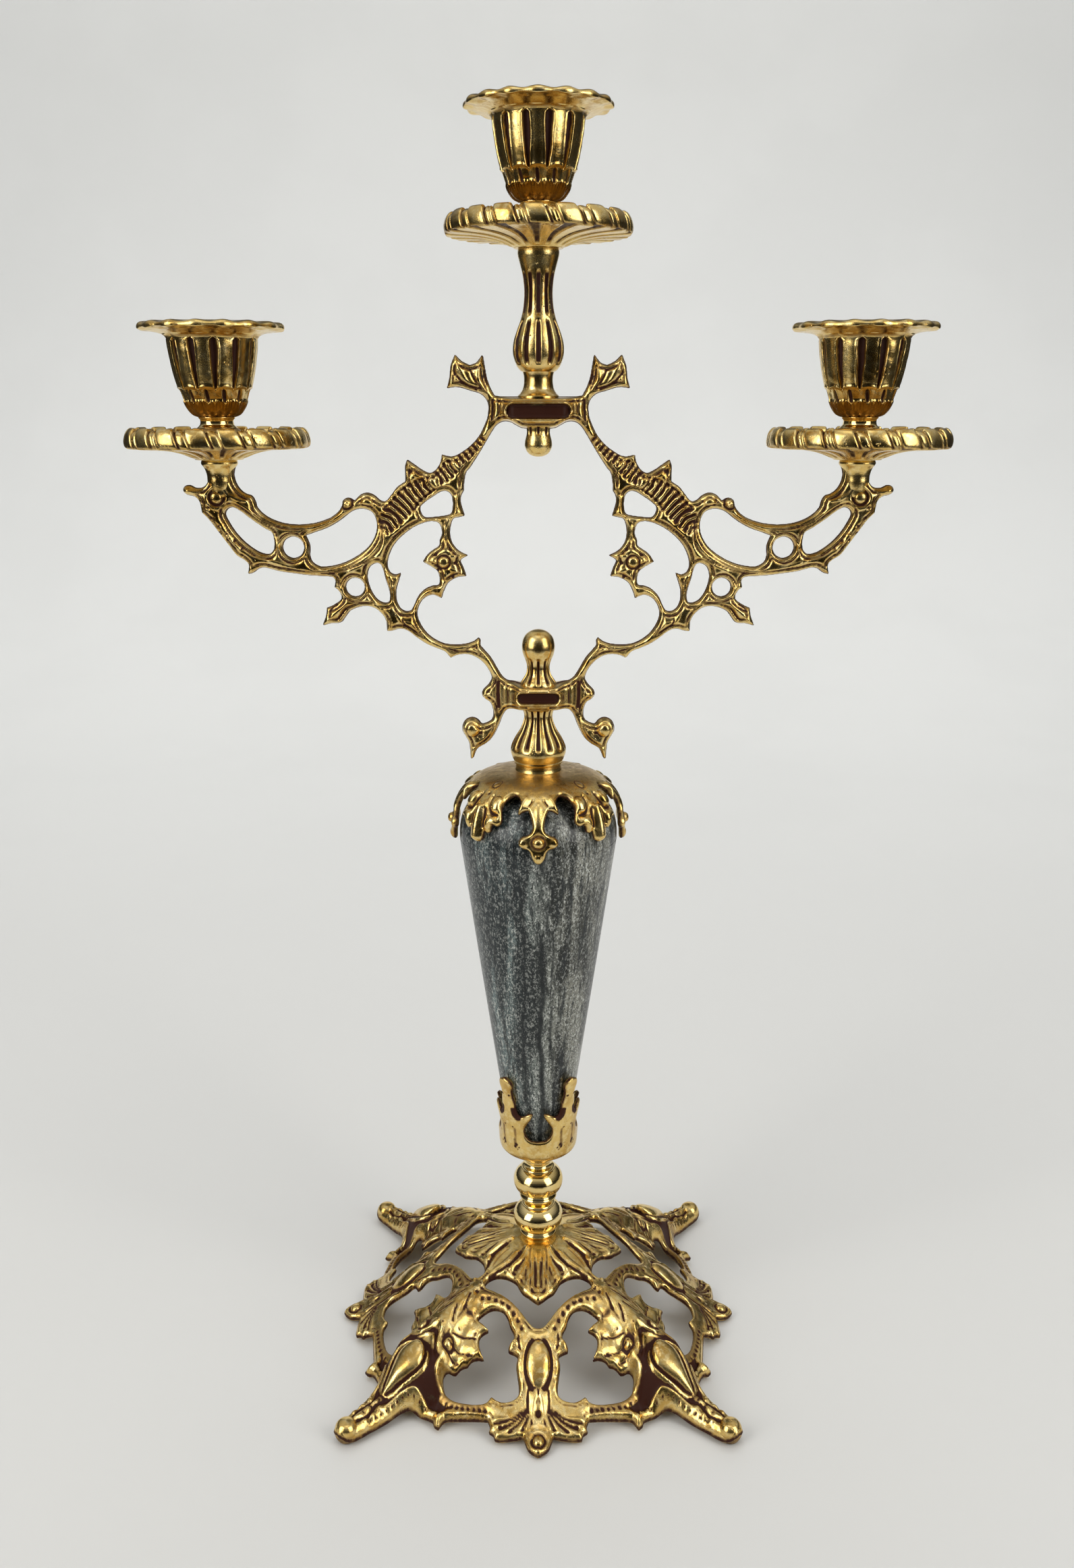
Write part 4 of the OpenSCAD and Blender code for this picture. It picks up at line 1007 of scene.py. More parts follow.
def base_details(r, d):
    uu, vv = np.meshgrid(r.u, r.v, indexing="ij")
    rr = np.hypot(uu, vv)
    phi = np.degrees(np.arctan2(np.abs(uu), np.maximum(vv, 0.1)))
    # shell-like flower: fan of flutes, deeper towards the edge
    fan = ease(rr, 9.5, 15) * (1 - ease(rr, 27.5, 29.5)) * (1 - ease(phi, 31, 35))
    bent = phi + 1.6 * np.sin(0.33 * rr + 0.19 * phi)
    wave = np.cos(2 * np.pi * bent / 8.6)
    r.add += fan * ((0.10 + 0.20 * ease(rr, 10, 22)) * wave + 0.05 * np.cos(2 * np.pi * bent / 3.1))
    r.dark = np.maximum(r.dark, 0.30 * fan * ease(-wave, 0.4, 1.0) * ease(rr, 12, 20))
    # nested loops chased into the tip of each petal
    nest = np.hypot(uu, np.maximum(vv - 23.6, 0) + np.maximum(15.5 - vv, 0))
    tip = ease(4.6 - nest, 0, 1.2) * ease(vv, 13, 17)
    r.add += 0.20 * tip * np.cos(2 * np.pi * nest / 1.7)
    r.dark = np.maximum(r.dark, 0.45 * tip * ease(-np.cos(2 * np.pi * nest / 1.7), 0.5, 1.0))
    r.crests(
        (0.9, 0.85, 3.4, 8, 5.6, 13.5, 10, 17.2, 15.4, 19.6, 19.6, 22),
        (-0.55, 0.55, 5.4, 10, 8.6, 14.4, 13.4, 16.9, 17.2, 18.9),
        (0.5, 0.5, 7.2, 9.8, 10.6, 13.6, 15.2, 16.8, 19.6, 20.4))
    # stretched ring from the leg to the baluster, with sunk dots
    r.crests((0.4, 0.45, 19.6, 24, 14.4, 26.2, 10.4, 28.4, 7.0, 31.8, 4.4, 35.4, 3.4, 38))
    for u, v in ((18.4, 26.0), (16.2, 26.4), (13.9, 27.2), (11.7, 28.5), (9.7, 30.1), (8.0, 32.0),
                 (6.6, 34.0), (5.4, 36.2)):
        r.pit(u, v, 0.55, 0.7)
    # nub
    r.bump(8.0, 39.6, 1.3, 0.6)
    r.crests((-0.45, 0.4, 6.4, 37, 6.2, 40, 5.6, 42))
    # baluster: sunk round an oval boss
    at, bu, bv = r.block((-7, 38), (7, 53), 1)
    oval = np.hypot(bu / 3.9, (bv - 45.2) / 5.6)
    r.add[at] += 1.6 * dome(oval)
    moat = np.exp(-((oval - 1.10) / 0.12) ** 2) * ease(np.abs(bu), 0.8, 2.8)
    r.add[at] -= 0.9 * moat
    r.darken(at, moat)
    r.crests(
        (0.45, 0.45, 5.9, 43, 6.2, 46, 5.4, 50, 5.0, 52.4),
        (0.55, 0.55, 0, 50.8, 1.3, 53.4, 1.6, 56.6, 0.6, 59.4),
        (-0.5, 0.5, 3.0, 50, 3.4, 53.4, 3.2, 57))
    r.pit(0, 56.4, 0.8, 1.1)
    r.pit(0, 51.8, 0.5, 0.5)
    # palmette
    r.bump(0, 64.2, 1.8, 1.0, sink=0.6)
    r.crests((0.4, 0.6, 0, 66, 0, 68))
    for k, (u, v) in enumerate(((3.6, 61.2), (7.6, 61.9), (12.2, 61.6), (14.6, 59.2), (14.6, 57.2))):
        r.crest([(2.2 + 0.5 * k, 56.6 - 0.35 * k), (0.5 * (u + 3), 0.5 * (v + 56.4) + 0.7), (u, v)], 0.5, 0.5)
    for k, (u, v) in enumerate(((5.4, 61.4), (10, 61.4), (13, 60), (14.2, 58.2))):
        r.crest([(2.6 + 0.6 * k, 56.4 - 0.3 * k), (0.5 * (u + 3.4), 0.5 * (v + 56.2) + 0.5), (u, v)], -0.65,
                0.42)
    r.pit(11.8, 59.2, 0.7, 0.7)
    # lower ring
    for u, v in ((16.6, 54.5), (18.4, 54.2), (20.2, 54.0), (22, 53.6), (23.8, 53.2), (25.6, 52.6),
                 (27.4, 51.8), (29.2, 50.6)):
        r.pit(u, v, 0.5, 0.6)
    r.crests(
        (0.35, 0.4, 15, 54, 20, 52.9, 25.2, 51.6, 28.8, 49.4, 31, 46),
        (0.35, 0.4, 16.4, 55.6, 24, 54.4, 30, 53.4, 35, 51.6))
    # ear
    r.bump(31.0, 54.8, 1.5, 0.7)
    r.pit(32.6, 51.4, 0.9, 0.8)
    r.pit(30.4, 52.6, 0.6, 0.6)
    r.pit(34.6, 50.0, 0.7, 0.7)
    # vine leaf: broad flat lobes with a thin crease between each two
    r.crests(
        (0.30, 1.5, 29.2, 34.6, 23.4, 33.0, 17.0, 34.0),
        (0.30, 1.5, 29.4, 36.6, 24.0, 38.0, 18.4, 41.0),
        (0.30, 1.5, 30.0, 38.0, 26.4, 40.2, 22.8, 41.8),
        (0.30, 1.5, 31.0, 39.6, 29.8, 41.2, 28.4, 42.4),
        (-0.42, 0.34, 28.6, 35.6, 24, 35.6, 19.6, 36.8),
        (-0.42, 0.34, 29.8, 37.2, 25, 39.4, 20.4, 41.0),
        (-0.42, 0.34, 30.6, 38.8, 27.8, 40.8, 24.8, 42.0),
        (-0.12, 0.2, 28.6, 34.6, 24, 33.4, 19, 34),
        (-0.12, 0.2, 29.0, 36.8, 24, 38.4, 20, 39.8))
    for u, v in ((20.6, 35.4), (22.2, 40.4), (25.6, 34.2)):
        r.pit(u, v, 0.35, 0.3)
    # spine of the leg, knot, teardrop and grooved toe
    lat = np.abs(vv - uu) * math.sqrt(0.5)
    along = (uu + vv) * math.sqrt(0.5)
    spine = ease(along, 27, 31) * (1 - ease(along, 45, 48))
    half = np.interp(along, [27, 31, 34, 37, 40, 43, 47], [1.6, 3.0, 3.8, 3.4, 3.8, 4.4, 4.0])
    r.add += 1.1 * spine * np.maximum(1 - np.minimum(lat / half, 1) ** 2, 0)
    r.crest(leg_run((32, 1.0), (35, 2.2), (38.5, 3.6)), -0.5, 0.4)
    r.crest(leg_run((37.5, 0.6), (40.5, 1.9), (43.5, 3.9)), -0.5, 0.4)
    r.pit(*leg_point(31, 2.2), 0.6, 0.6)
    r.pit(*leg_point(45, 1.2), 0.5, 0.5)
    r.crest(leg_run((44.4, 0), (46.0, 1.8), (48.6, 3.0), (50.4, 5.0)), 0.9, 0.75)
    r.crest(leg_run((46.6, 0), (48.6, 2.0), (50.8, 3.8), (52.4, 6.0)), -0.9, 0.42)
    r.crest(leg_run((48.6, 0), (50.2, 2.4), (52.4, 4.6), (53.8, 7.0)), 0.8, 0.6)
    r.bump(*leg_point(47.4, 6.4), 1.5, 0.7, sink=0.5)
    tear_w = np.interp(along, [53.0, 53.6, 54.8, 56.4, 58.2, 60.2, 62.6, 65, 67.4, 69.8], [0.05, 2.0, 3.5,
                       4.5, 4.9, 4.5, 3.5, 2.4, 1.4, 0.05])
    on = ease(along, 53.0, 53.6) * (1 - ease(along, 69.2, 70.2))
    r.add += 2.6 * on * dome(lat / tear_w) * np.minimum(tear_w /
                                2.6, 1)
    edge = (lat - tear_w) * on + 5 * (1 - on)
    moat = np.exp(-((edge - 0.35) / 0.38) ** 2)
    r.add -= 0.7 * moat
    halo = np.exp(-((edge - 1.35) / 0.45) ** 2) * (1 - ease(along, 64, 68))
    r.add += 0.8 * halo
    # lacquered ground round it, inside a raised and dotted rim
    ground = ease(along, 50, 53) * (1 - ease(along, 69, 73))
    hollow = ease(edge, 1.9, 2.5) * ease(d, 2.3, 3.0) * ground
    r.add -= 0.9 * hollow
    r.dark = np.maximum(r.dark, np.maximum(0.95 * moat, 0.95 * hollow))
    r.add += 0.65 * np.exp(-((d - 1.5) / 0.7) ** 2) * ease(along, 50, 54) * ease(edge, 1.2, 1.9)
    for u, v in ((33.6, 51.9), (35.6, 51.4), (37.4, 50.7), (39.2, 50.3), (41.0, 50.3), (42.7, 50.8),
                 (44.3, 51.6), (45.9, 52.6), (47.5, 53.6), (49.1, 54.8), (50.7, 55.9), (52.2, 57.0)):
        r.pit(u, v, 0.42, 0.6)
    toe = ease(along, 68, 71) * (1 - ease(along, 80.5, 82.5))
    sway = lat - 1.5 - 0.5 * np.sin(0.75 * along)
    r.add += toe * (0.8 * np.exp(-(lat / 0.9) ** 2) - 0.9 * np.exp(-(sway / 0.5) ** 2))
    r.dark = np.maximum(r.dark, 0.85 * toe * np.exp(-(sway / 0.5) ** 2))
    for s in (71.5, 74.5, 77.5):
        r.pit(*leg_point(s, 0.4), 0.5, 0.5)
        r.bump(*leg_point(s + 1.4, 2.6), 1.0, 0.5)
    # brown grounds behind the ornament
    r.stain([(19.6, 23.6, 1.3), (14.4, 26.4, 1.2), (10.4, 29.0, 1.1), (7.2, 32.4, 1.1), (5.0, 36.2, 1.4)],
            0.42, 1.0)
    r.stain([(30.2, 47.4, 2.2), (26, 51.6, 1.4), (20, 53.6, 1.2), (15.6, 54.4, 1.2)], 0.45, 0.9)
    r.stain([(24, 29.6, 1.2), (20.8, 30.4, 0.8)], 0.7, 0.8)
    r.stain([(34.2, 46.6, 1.6), (31.6, 49.6, 1.8)], 0.85, 0.9)
    r.stain([(3.4, 55, 0.8), (4.6, 57.4, 0.7)], 0.8, 0.5)


def build_base(material):
    r = Relief(-9, 74, -8, 74)
    r.loop(outline(BASE_OUTER))
    for hole in BASE_HOLES:
        r.loop(outline(hole), hole=True)
    d = r.distance()
    uu, vv = np.meshgrid(r.u, r.v, indexing="ij")
    d = np.where(np.hypot(uu, vv) < 8.6, FAR, d)
    base_details(r, d)
    body, back = section(d, 1.7, 1.5, 1.6), section(d, 1.5, 1.5, 1.6)
    line = 0.22 * np.exp(-((d - 0.6) / 0.34) ** 2) - 0.28 * np.exp(-((d - 1.4) / 0.4) ** 2)
    grow = ease(d, 0.05, 0.8)
    h = body + grow * (line + r.add)
    h = settle(h, d, 0.3 * body - 0.4 * ease(d, 0.8, 2), 0.8)
    dark = r.hollows(h, d, 0.10, 0.34)
    full = Relief(-68.4, 68.4, -68.4, 68.4)
    gx, gy = np.meshgrid(full.u, full.v, indexing="ij")
    a, b = np.minimum(np.abs(gx), np.abs(gy)), np.maximum(np.abs(gx), np.abs(gy))
    fu, fv = (a - r.u0) / r.px, (b - r.v0) / r.px
    front, rear, shade = (sample(layer, fu, fv) for layer in (h, back, dark))
    hub = np.hypot(gx, gy)
    rod = (hub - 2.75) * 1.6
    front, rear = np.minimum(front, rod), np.minimum(rear, rod)
    seat = 36.4 - 1.4 * ease(hub, 8.2, 9.6) - base_ground(gx, gy)
    front = np.where(hub < 12, np.minimum(front, seat), front)
    v, f, d = slab(full, front, rear, shade, 0.5, (2.2, 5.6))
    v[:, 2] += base_ground(v[:, 0], v[:, 1])
    parts = [(v, f, d)]
    # ball toes
    toe = rounded([(0.001, 0.0), (1.6, 0.02), (2.8, 0.9), (3.6, 2.6), (3.7, 4.0), (3.3, 5.6), (2.2, 6.9),
                   (0.001, 7.5)])
    for sx, sy in ((-1, -1), (-1, 1), (1, -1), (1, 1)):
        bv, bf, bd = lathe(toe, 48, fine=0.4)
        c = 84 * math.sqrt(0.5)
        parts.append((bv + np.array([c * sx, c * sy, 0]), bf, bd + 0.55 * ease(bv[:, 2], 5.5, 2.5)))
    verts, faces, shade = join(parts)
    verts[:, 2] = np.maximum(verts[:, 2], 0.0)
    obj = make_mesh("base", verts, faces, dark=shade)
    finish_piece(obj, STAND, "base_casting", material)


# ---------------------------------------------------------------- crown and calyx, wrapped round the marble

def profile_path(points, fine=0.25):
    p = spline(points, 10)
    ln = np.r_[0, np.cumsum(np.hypot(*np.diff(p, axis=0).T))]
    t = np.arange(0, ln[-1], fine)
    r, z = np.interp(t, ln, p[:, 0]), np.interp(t, ln, p[:, 1])
    dr, dz = np.gradient(r, t), np.gradient(z, t)
    n = np.hypot(dr, dz)
    return t, r, z, -dz / n, dr / n


def wrapped(relief, front, back, shade, path, scale_r, step, depth, fold):
    """Maps a folded relief, u in mm at scale_r from a main axis to its neighbour, round the whole turn."""
    t, r, z, nr, nz = path
    turn = 2 * math.pi * scale_r
    n = int(round(turn / step))
    pitch = turn / n
    full = Relief(0, turn + 4 * pitch, relief.v[0], relief.v[-1], pitch / 2)
    gu, gv = np.meshgrid(full.u, full.v, indexing="ij")
    half = turn / fold / 2
    a = np.mod(gu, 2 * half)
    a = np.minimum(a, 2 * half - a)
    fu, fv = (a - relief.u0) / relief.px, (gv - relief.v0) / relief.px
    front, back, shade = (sample(layer, fu, fv) for layer in (front, back, shade))
    verts, quads, dark = slab(full, front, back, shade, pitch, depth)
    theta = verts[:, 0] / scale_r
    tt = verts[:, 1]
    rr = np.interp(tt, t, r) + verts[:, 2] * np.interp(tt, t, nr)
    zz = np.interp(tt, t, z) + verts[:, 2] * np.interp(tt, t, nz)
    # drop the overlap and weld the seam
    middle = verts[quads, 0].mean(1)
    quads = quads[(middle >= 1.5 * pitch) & (middle < 1.5 * pitch + turn)]
    xyz = np.stack([rr * np.sin(theta), -rr * np.cos(theta), zz], 1)
    key = np.round(xyz / 0.002).astype(np.int64)
    _, first, inverse = np.unique(key, axis=0, return_index=True, return_inverse=True)
    quads, xyz, dark = take(inverse.reshape(-1)[quads], slice(None), xyz[first], dark[first])
    return xyz, quads, dark


CROWN_PATH = [(4, 198.6), (8, 198.6), (13, 198.2), (17.4, 197), (20.8, 195), (23.3, 192.2), (24.9, 188.8),
              (25.8, 185), (26.15, 181), (26.2, 176), (26, 170), (25.8, 164)]


def folded_outline(points, half, far):
    """One closed outline from the stretch between two mirror lines, u = 0 and u = half."""
    def flip(about):
        return [(2 * about - q[0],) + tuple(q[1:]) for q in points[::-1]]
    around = flip(0)[:-1] + points + flip(half)[1:]
    return outline(around + [(2 * half, far, 1), (-half, far, 1)])


def build_crown(material):
    path = profile_path(CROWN_PATH)
    t, _, pz = path[:3]

    def tz(z):
        return float(np.interp(-z, -pz, t))

    radius = 24.9
    half = math.pi * radius / 4
    r = Relief(-5, half + 5, 0, float(t[-1]))
    # edge from the tip of the drop, over the arch, to the tip of the leaf
    edge = [(0, 177.1, 1), (0.9, 177.5), (1.8, 178.9), (2.3, 180.6), (3.0, 181.6), (4.4, 181.9), (5.6, 182.8),
            (5.7, 184.2), (4.8, 185.4), (3.2, 186.0), (2.1, 186.9), (1.8, 188.4), (2.1, 190.2), (2.6, 191.6),
            (3.3, 192.7, 1), (4.8, 192.3), (6.3, 191.4, 1), (6.5, 192.8), (6.1, 194.0), (6.6, 195.2),
            (8.0, 195.9), (9.8, 195.8), (11.2, 195.0), (12.0, 193.6), (12.0, 192.0), (11.5, 190.6),
            (11.3, 189.0), (12.4, 187.7), (13.9, 187.9), (14.5, 187.2), (14.6, 185.9), (15.7, 185.3),
            (16.7, 185.8, 1), (17.0, 184.9), (17.3, 183.3), (18.4, 182.2), (half, 182.0, 1)]
    loop = folded_outline(edge, half, 205.0)
    r.loop(np.stack([loop[:, 0], np.where(loop[:, 1] > 199, -1.0, np.interp(-loop[:, 1], -pz, t))], 1))
    d = r.distance()
    d = np.where(r.v[None] < 14, FAR, d)

    def line(points, amount, width):
        r.crest([(u, tz(z)) for u, z in points], amount, width)

    # drop: curled shoulders, plain neck, four lobed boss and tip
    line([(0, 194.6), (0, 191), (0, 188), (0, 186.4)], 0.35, 0.9)
    line([(3.6, 195.8), (5.0, 194.2), (5.6, 192.6)], 0.55, 0.8)
    line([(1.6, 195.2), (2.9, 193.9), (3.3, 193.0)], -0.7, 0.4)
    r.bump(0, tz(183.9), 1.7, 1.4, sink=0.55)
    r.bump(4.3, tz(183.8), 1.3, 0.45)
    r.bump(0, tz(179.4), 1.2, 0.45)
    line([(1.9, 182.2), (3.0, 182.9)], -0.5, 0.35)
    line([(1.9, 185.4), (2.8, 184.9)], -0.5, 0.35)
    # leaf: long smooth tongue between two scrolled lobes
    line([(half, 193), (half, 189), (half, 185), (half, 182.4)], 1.1, 1.25)
    line([(half - 1.7, 192.6), (half - 2.3, 189.4), (half - 2.4, 186.0)], -1.0, 0.45)
    r.bump(half - 5.5, tz(193.3), 2.4, 1.1)
    r.bump(half - 5.0, tz(188.3), 2.2, 0.95)
    line([(half - 2.6, 195.4), (half - 3.4, 192.4), (half - 4.8, 190.9), (half - 7.6, 190.8)], -1.0, 0.5)
    line([(half, 195.8), (half, 194.6)], -0.7, 0.8)
    # low leaf tips that lap on to the dome
    r.bump(half, tz(197.1), 1.5, 0.7, sink=0.2)
    body, back = section(d, 1.25, 1.1, 1.5), section(d, 0.75, 1.1, 1.5)
    gu = np.broadcast_to(r.u[:, None], d.shape)
    rim = 0.25 * np.exp(-((d - 0.55) / 0.3) ** 2) * ease(r.v[None], 17, 21) * (gu < 8)
    grow = ease(d, 0.05, 0.8) * ease(r.v[None], 12, 16)
    h = body + grow * (rim + r.add)
    h = settle(h, d, 0.3 * body - 0.2, 1.0)
    dark = r.hollows(h, d, 0.34, 0.9)
    dark = np.maximum(dark, 0.34 * (1 - ease(r.v[None], 13, 20)))
    hole = (r.v[None] - 0.4) * 1.5
    h, back = np.minimum(h, hole - 0.1), np.minimum(back, hole - 0.1)
    v, f, s = wrapped(r, h, back, dark, path, radius, 0.4, (1.6, 3.2), 4)
    obj = make_mesh("crown", v, f, dark=s)
    finish_piece(obj, STAND, "crown_cap", material)


CALYX_PATH = [(6.9, 66.4), (8.4, 67.2), (10.3, 68.4), (11.8, 69.5), (12.3, 70.9), (12.6, 75), (12.9, 79),
              (13.3, 84), (13.9, 89), (14.9, 95), (15.9, 100)]


def build_calyx(material):
    path = profile_path(CALYX_PATH)
    t, _, pz = path[:3]

    def tz(z):
        return float(np.interp(z, pz, t))

    radius = 12.6
    half = math.pi * radius / 4
    r = Relief(-5, half + 5, 0, float(t[-1]))

    # edge from the foot of the opening, round its barb, to the top of the prong
    edge = [(0, 76.2, 1), (2.6, 76.6), (4.3, 78.4), (4.5, 80.6), (3.5, 82.8), (2.4, 84.6), (1.5, 86.8, 1),
            (3.4, 86.5), (5.0, 85.3), (6.4, 85.6), (7.1, 87.2), (7.4, 89.8), (7.9, 92.2), (7.9, 94.2),
            (7.5, 96), (8.0, 97.8), (half, 99.0, 1)]
    loop = folded_outline(edge, half, 40.0)
    r.loop(np.stack([loop[:, 0], np.where(loop[:, 1] < 60, -1.0, np.interp(loop[:, 1], pz, t))], 1))
    d = r.distance()
    d = np.where(r.v[None] < 0.8, FAR, d)

    def line(points, amount, width, tint=0.85):
        r.crest([(u, tz(z)) for u, z in points], amount, width, tint)

    # rounded prong, its side barb, a sunk brown fold between the two, and the long folds of the body
    line([(half, 76), (half, 86), (half, 90), (half, 96)], 1.0, 1.6)
    line([(half - 1.8, 89.0), (half - 2.3, 86.6), (half - 3.2, 84.8), (half - 4.8, 84.2)], -0.9, 1.0)
    line([(half - 4.2, 71.5), (half - 5.2, 80.6), (half - 7.4, 85.8)], 1.0, 1.2)
    line([(half - 2.0, 72.4), (half - 2.4, 77.0), (half - 2.3, 81.4)], -0.34, 0.8, 0.12)
    line([(1.0, 70.6), (1.6, 74.6)], 0.5, 1.3)
    r.stain([(half - 2.1, tz(88.4), 0.8), (half - 3.0, tz(85.9), 1.4), (half - 4.9, tz(84.9), 0.8)],
            0.95, 0.4)
    for u, z, size, rise in ((half - 0.6, 95.8, 2.2, 0.8), (half - 1.6, 90.2, 1.4, 0.6),
                             (half, 71.4, 3.0, 0.5)):
        r.bump(u, tz(z), size, rise)
    for off, z, size in ((2.9, 74.6, 0.5), (3.6, 73.7, 0.4), (2.2, 73.6, 0.35), (3.1, 72.9, 0.3),
                         (1.5, 81.0, 0.4), (1.2, 92.8, 0.5)):
        r.pit(half - off, tz(z), size, 0.5)
    body, back = section(d, 1.35, 1.2, 1.5), section(d, 0.7, 1.2, 1.5)
    grow = ease(d, 0.05, 0.7)
    h = body + grow * (r.add + 0.2 * np.exp(-((d - 0.55) / 0.3) ** 2))
    h = settle(h, d, 0.3 * body - 0.2, 1.0)
    dark = r.hollows(h, d, 0.34, 0.75)
    near = (r.v[None] - 0.3) * 1.6
    h, back = np.minimum(h, near), np.minimum(back, near)
    v, f, s = wrapped(r, h, back, dark, path, radius, 0.32, (1.4, 2.6), 4)
    foot = lathe(rounded([(2.7, 62.65, 1), (4.2, 62.62), (4.7, 63.0), (4.9, 63.9), (5.9, 65.0), (6.9, 65.6),
                          (7.5, 66.2), (7.6, 66.8), (7.3, 67.6, 1), (7.0, 68.4), (8.6, 69.3, 1),
                          (9.0, 69.9, 1), (2.7, 69.95)]), 128, fine=0.4)
    verts, faces, shade = join([(v, f, s), foot])
    obj = make_mesh("calyx", verts, faces, dark=shade)
    finish_piece(obj, STAND, "calyx_cup", material)


# ---------------------------------------------------------------- pans, cups, collars, knobs, stone

# plan x and height of the seat under each pan
PANS = {"left": (-94.0, 294.0), "centre": (0.0, 352.2), "right": (94.0, 294.0)}
LOBES = 18
GROOVES = 12


def wobble(seed):
    """A small smooth function of (theta, z) that makes every casting slightly different."""
    rng = np.random.default_rng(seed)
    terms = [(rng.integers(1, 9), rng.uniform(0.1, 0.9), rng.uniform(0, 6.28), rng.uniform(0.3, 1))
             for _ in range(7)]
    norm = sum(t[3] for t in terms)

    def f(T, Z):
        return sum(a * np.sin(n * T + k * Z + p) for n, k, p, a in terms) / norm
    return f


def build_pan(side, seed, material):
    x0, z0 = PANS[side]
    wob = wobble(seed)
    prof = rounded([(2.2, 0.03, 1), (6.5, 0.02), (7.2, 0.3), (8.8, 1.05), (11.2, 1.95), (14.4, 2.65),
                    (18.5, 3.1), (23.4, 3.3), (25.7, 3.45), (26.45, 3.85), (26.75, 4.8), (26.7, 6.1),
                    (26.25, 7.6), (25.4, 8.8), (24.4, 9.2), (23.6, 8.5), (23.1, 7.6), (22.4, 6.8), (20, 6.1),
                    (16, 5.6), (12.5, 5.5), (10, 5.8), (8, 6.8), (6.8, 8.2), (6.1, 8.9), (5.6, 8.97, 1),
                    (2.2, 8.97, 1)])

    def parts(T, R, Z):
        # wide flat panels, and between them one narrow slanted bead, split on some lobes
        p = np.mod(LOBES * (T + 0.014 * (Z - 6)) + 0.30 * wob(T, 0), 2 * np.pi) - np.pi
        rim = ease(Z, 3.3, 4.0) * ease(R, 22.4, 24.2)
        a = np.abs(p)
        bead = ease(a, 1.02, 0.84)
        groove = np.exp(-((p + 1.02) / 0.22) ** 2) + 0.6 * np.exp(-((p - 1.02) / 0.17) ** 2)
        split = np.exp(-((p - 0.15) / 0.15) ** 2) * ease(wob(T, 1), -0.05, 0.2)
        under = (1 - ease(Z, 3.5, 3.9)) * ease(R, 7.3, 8.6)
        ray = np.cos(LOBES * T + 0.6 + 0.5 * wob(T, 3))
        return rim, bead, groove, split, p, under, ray

    def push(T, R, Z):
        rim, bead, groove, split, p, under, ray = parts(T, R, Z)
        top = ease(Z, 7.0, 9.0)
        rounding = bead * 0.40 * np.sqrt(np.clip(1 - p ** 2, 0, 1))
        flat = (1 - bead) * 0.50 * np.sqrt(np.clip(1 - ((np.pi - np.abs(p)) / 2.2) ** 4, 0, 1))
        g = rim * (rounding + flat - 0.46 - (0.45 + 0.40 * top) * groove - 0.20 * split
                   - 0.45 * bead * top)
        rays = -0.50 * ease(ray, 0.15, 0.85) + 0.10 * np.exp(-(ray / 0.2) ** 2)
        inner = ease(Z, 5.2, 5.5) * (1 - rim) * ease(R, 9.5, 12) * (Z > 4.5)
        flutes = 0.22 * np.cos(LOBES * T) + 0.10 * np.cos(2 * LOBES * T)
        return g + under * rays + inner * flutes + 0.07 * wob(3 * T, 2 * Z) * rim

    def shade(T, R, Z):
        rim, _, groove, split, _, under, ray = parts(T, R, Z)
        # painted shade: the lower part of the rim lobes is darker, the upper part left bright
        low = ease(Z, 5.2, 3.6)
        inner = (1 - rim) * (Z > 4.5)
        return np.clip(rim * (0.85 * groove + 0.25 * split + 0.34 * low) + 0.40 * inner
                       + under * (0.10 + 0.62 * ease(ray, 0.15, 0.8)), 0, 1)

    v, f, d = lathe(prof, 720, None, shade, (x0, 0, z0), 0.34, push)
    obj = make_mesh("pan_" + side, v, f, dark=d)
    finish_piece(obj, STAND, "drip_pan_" + side, material)


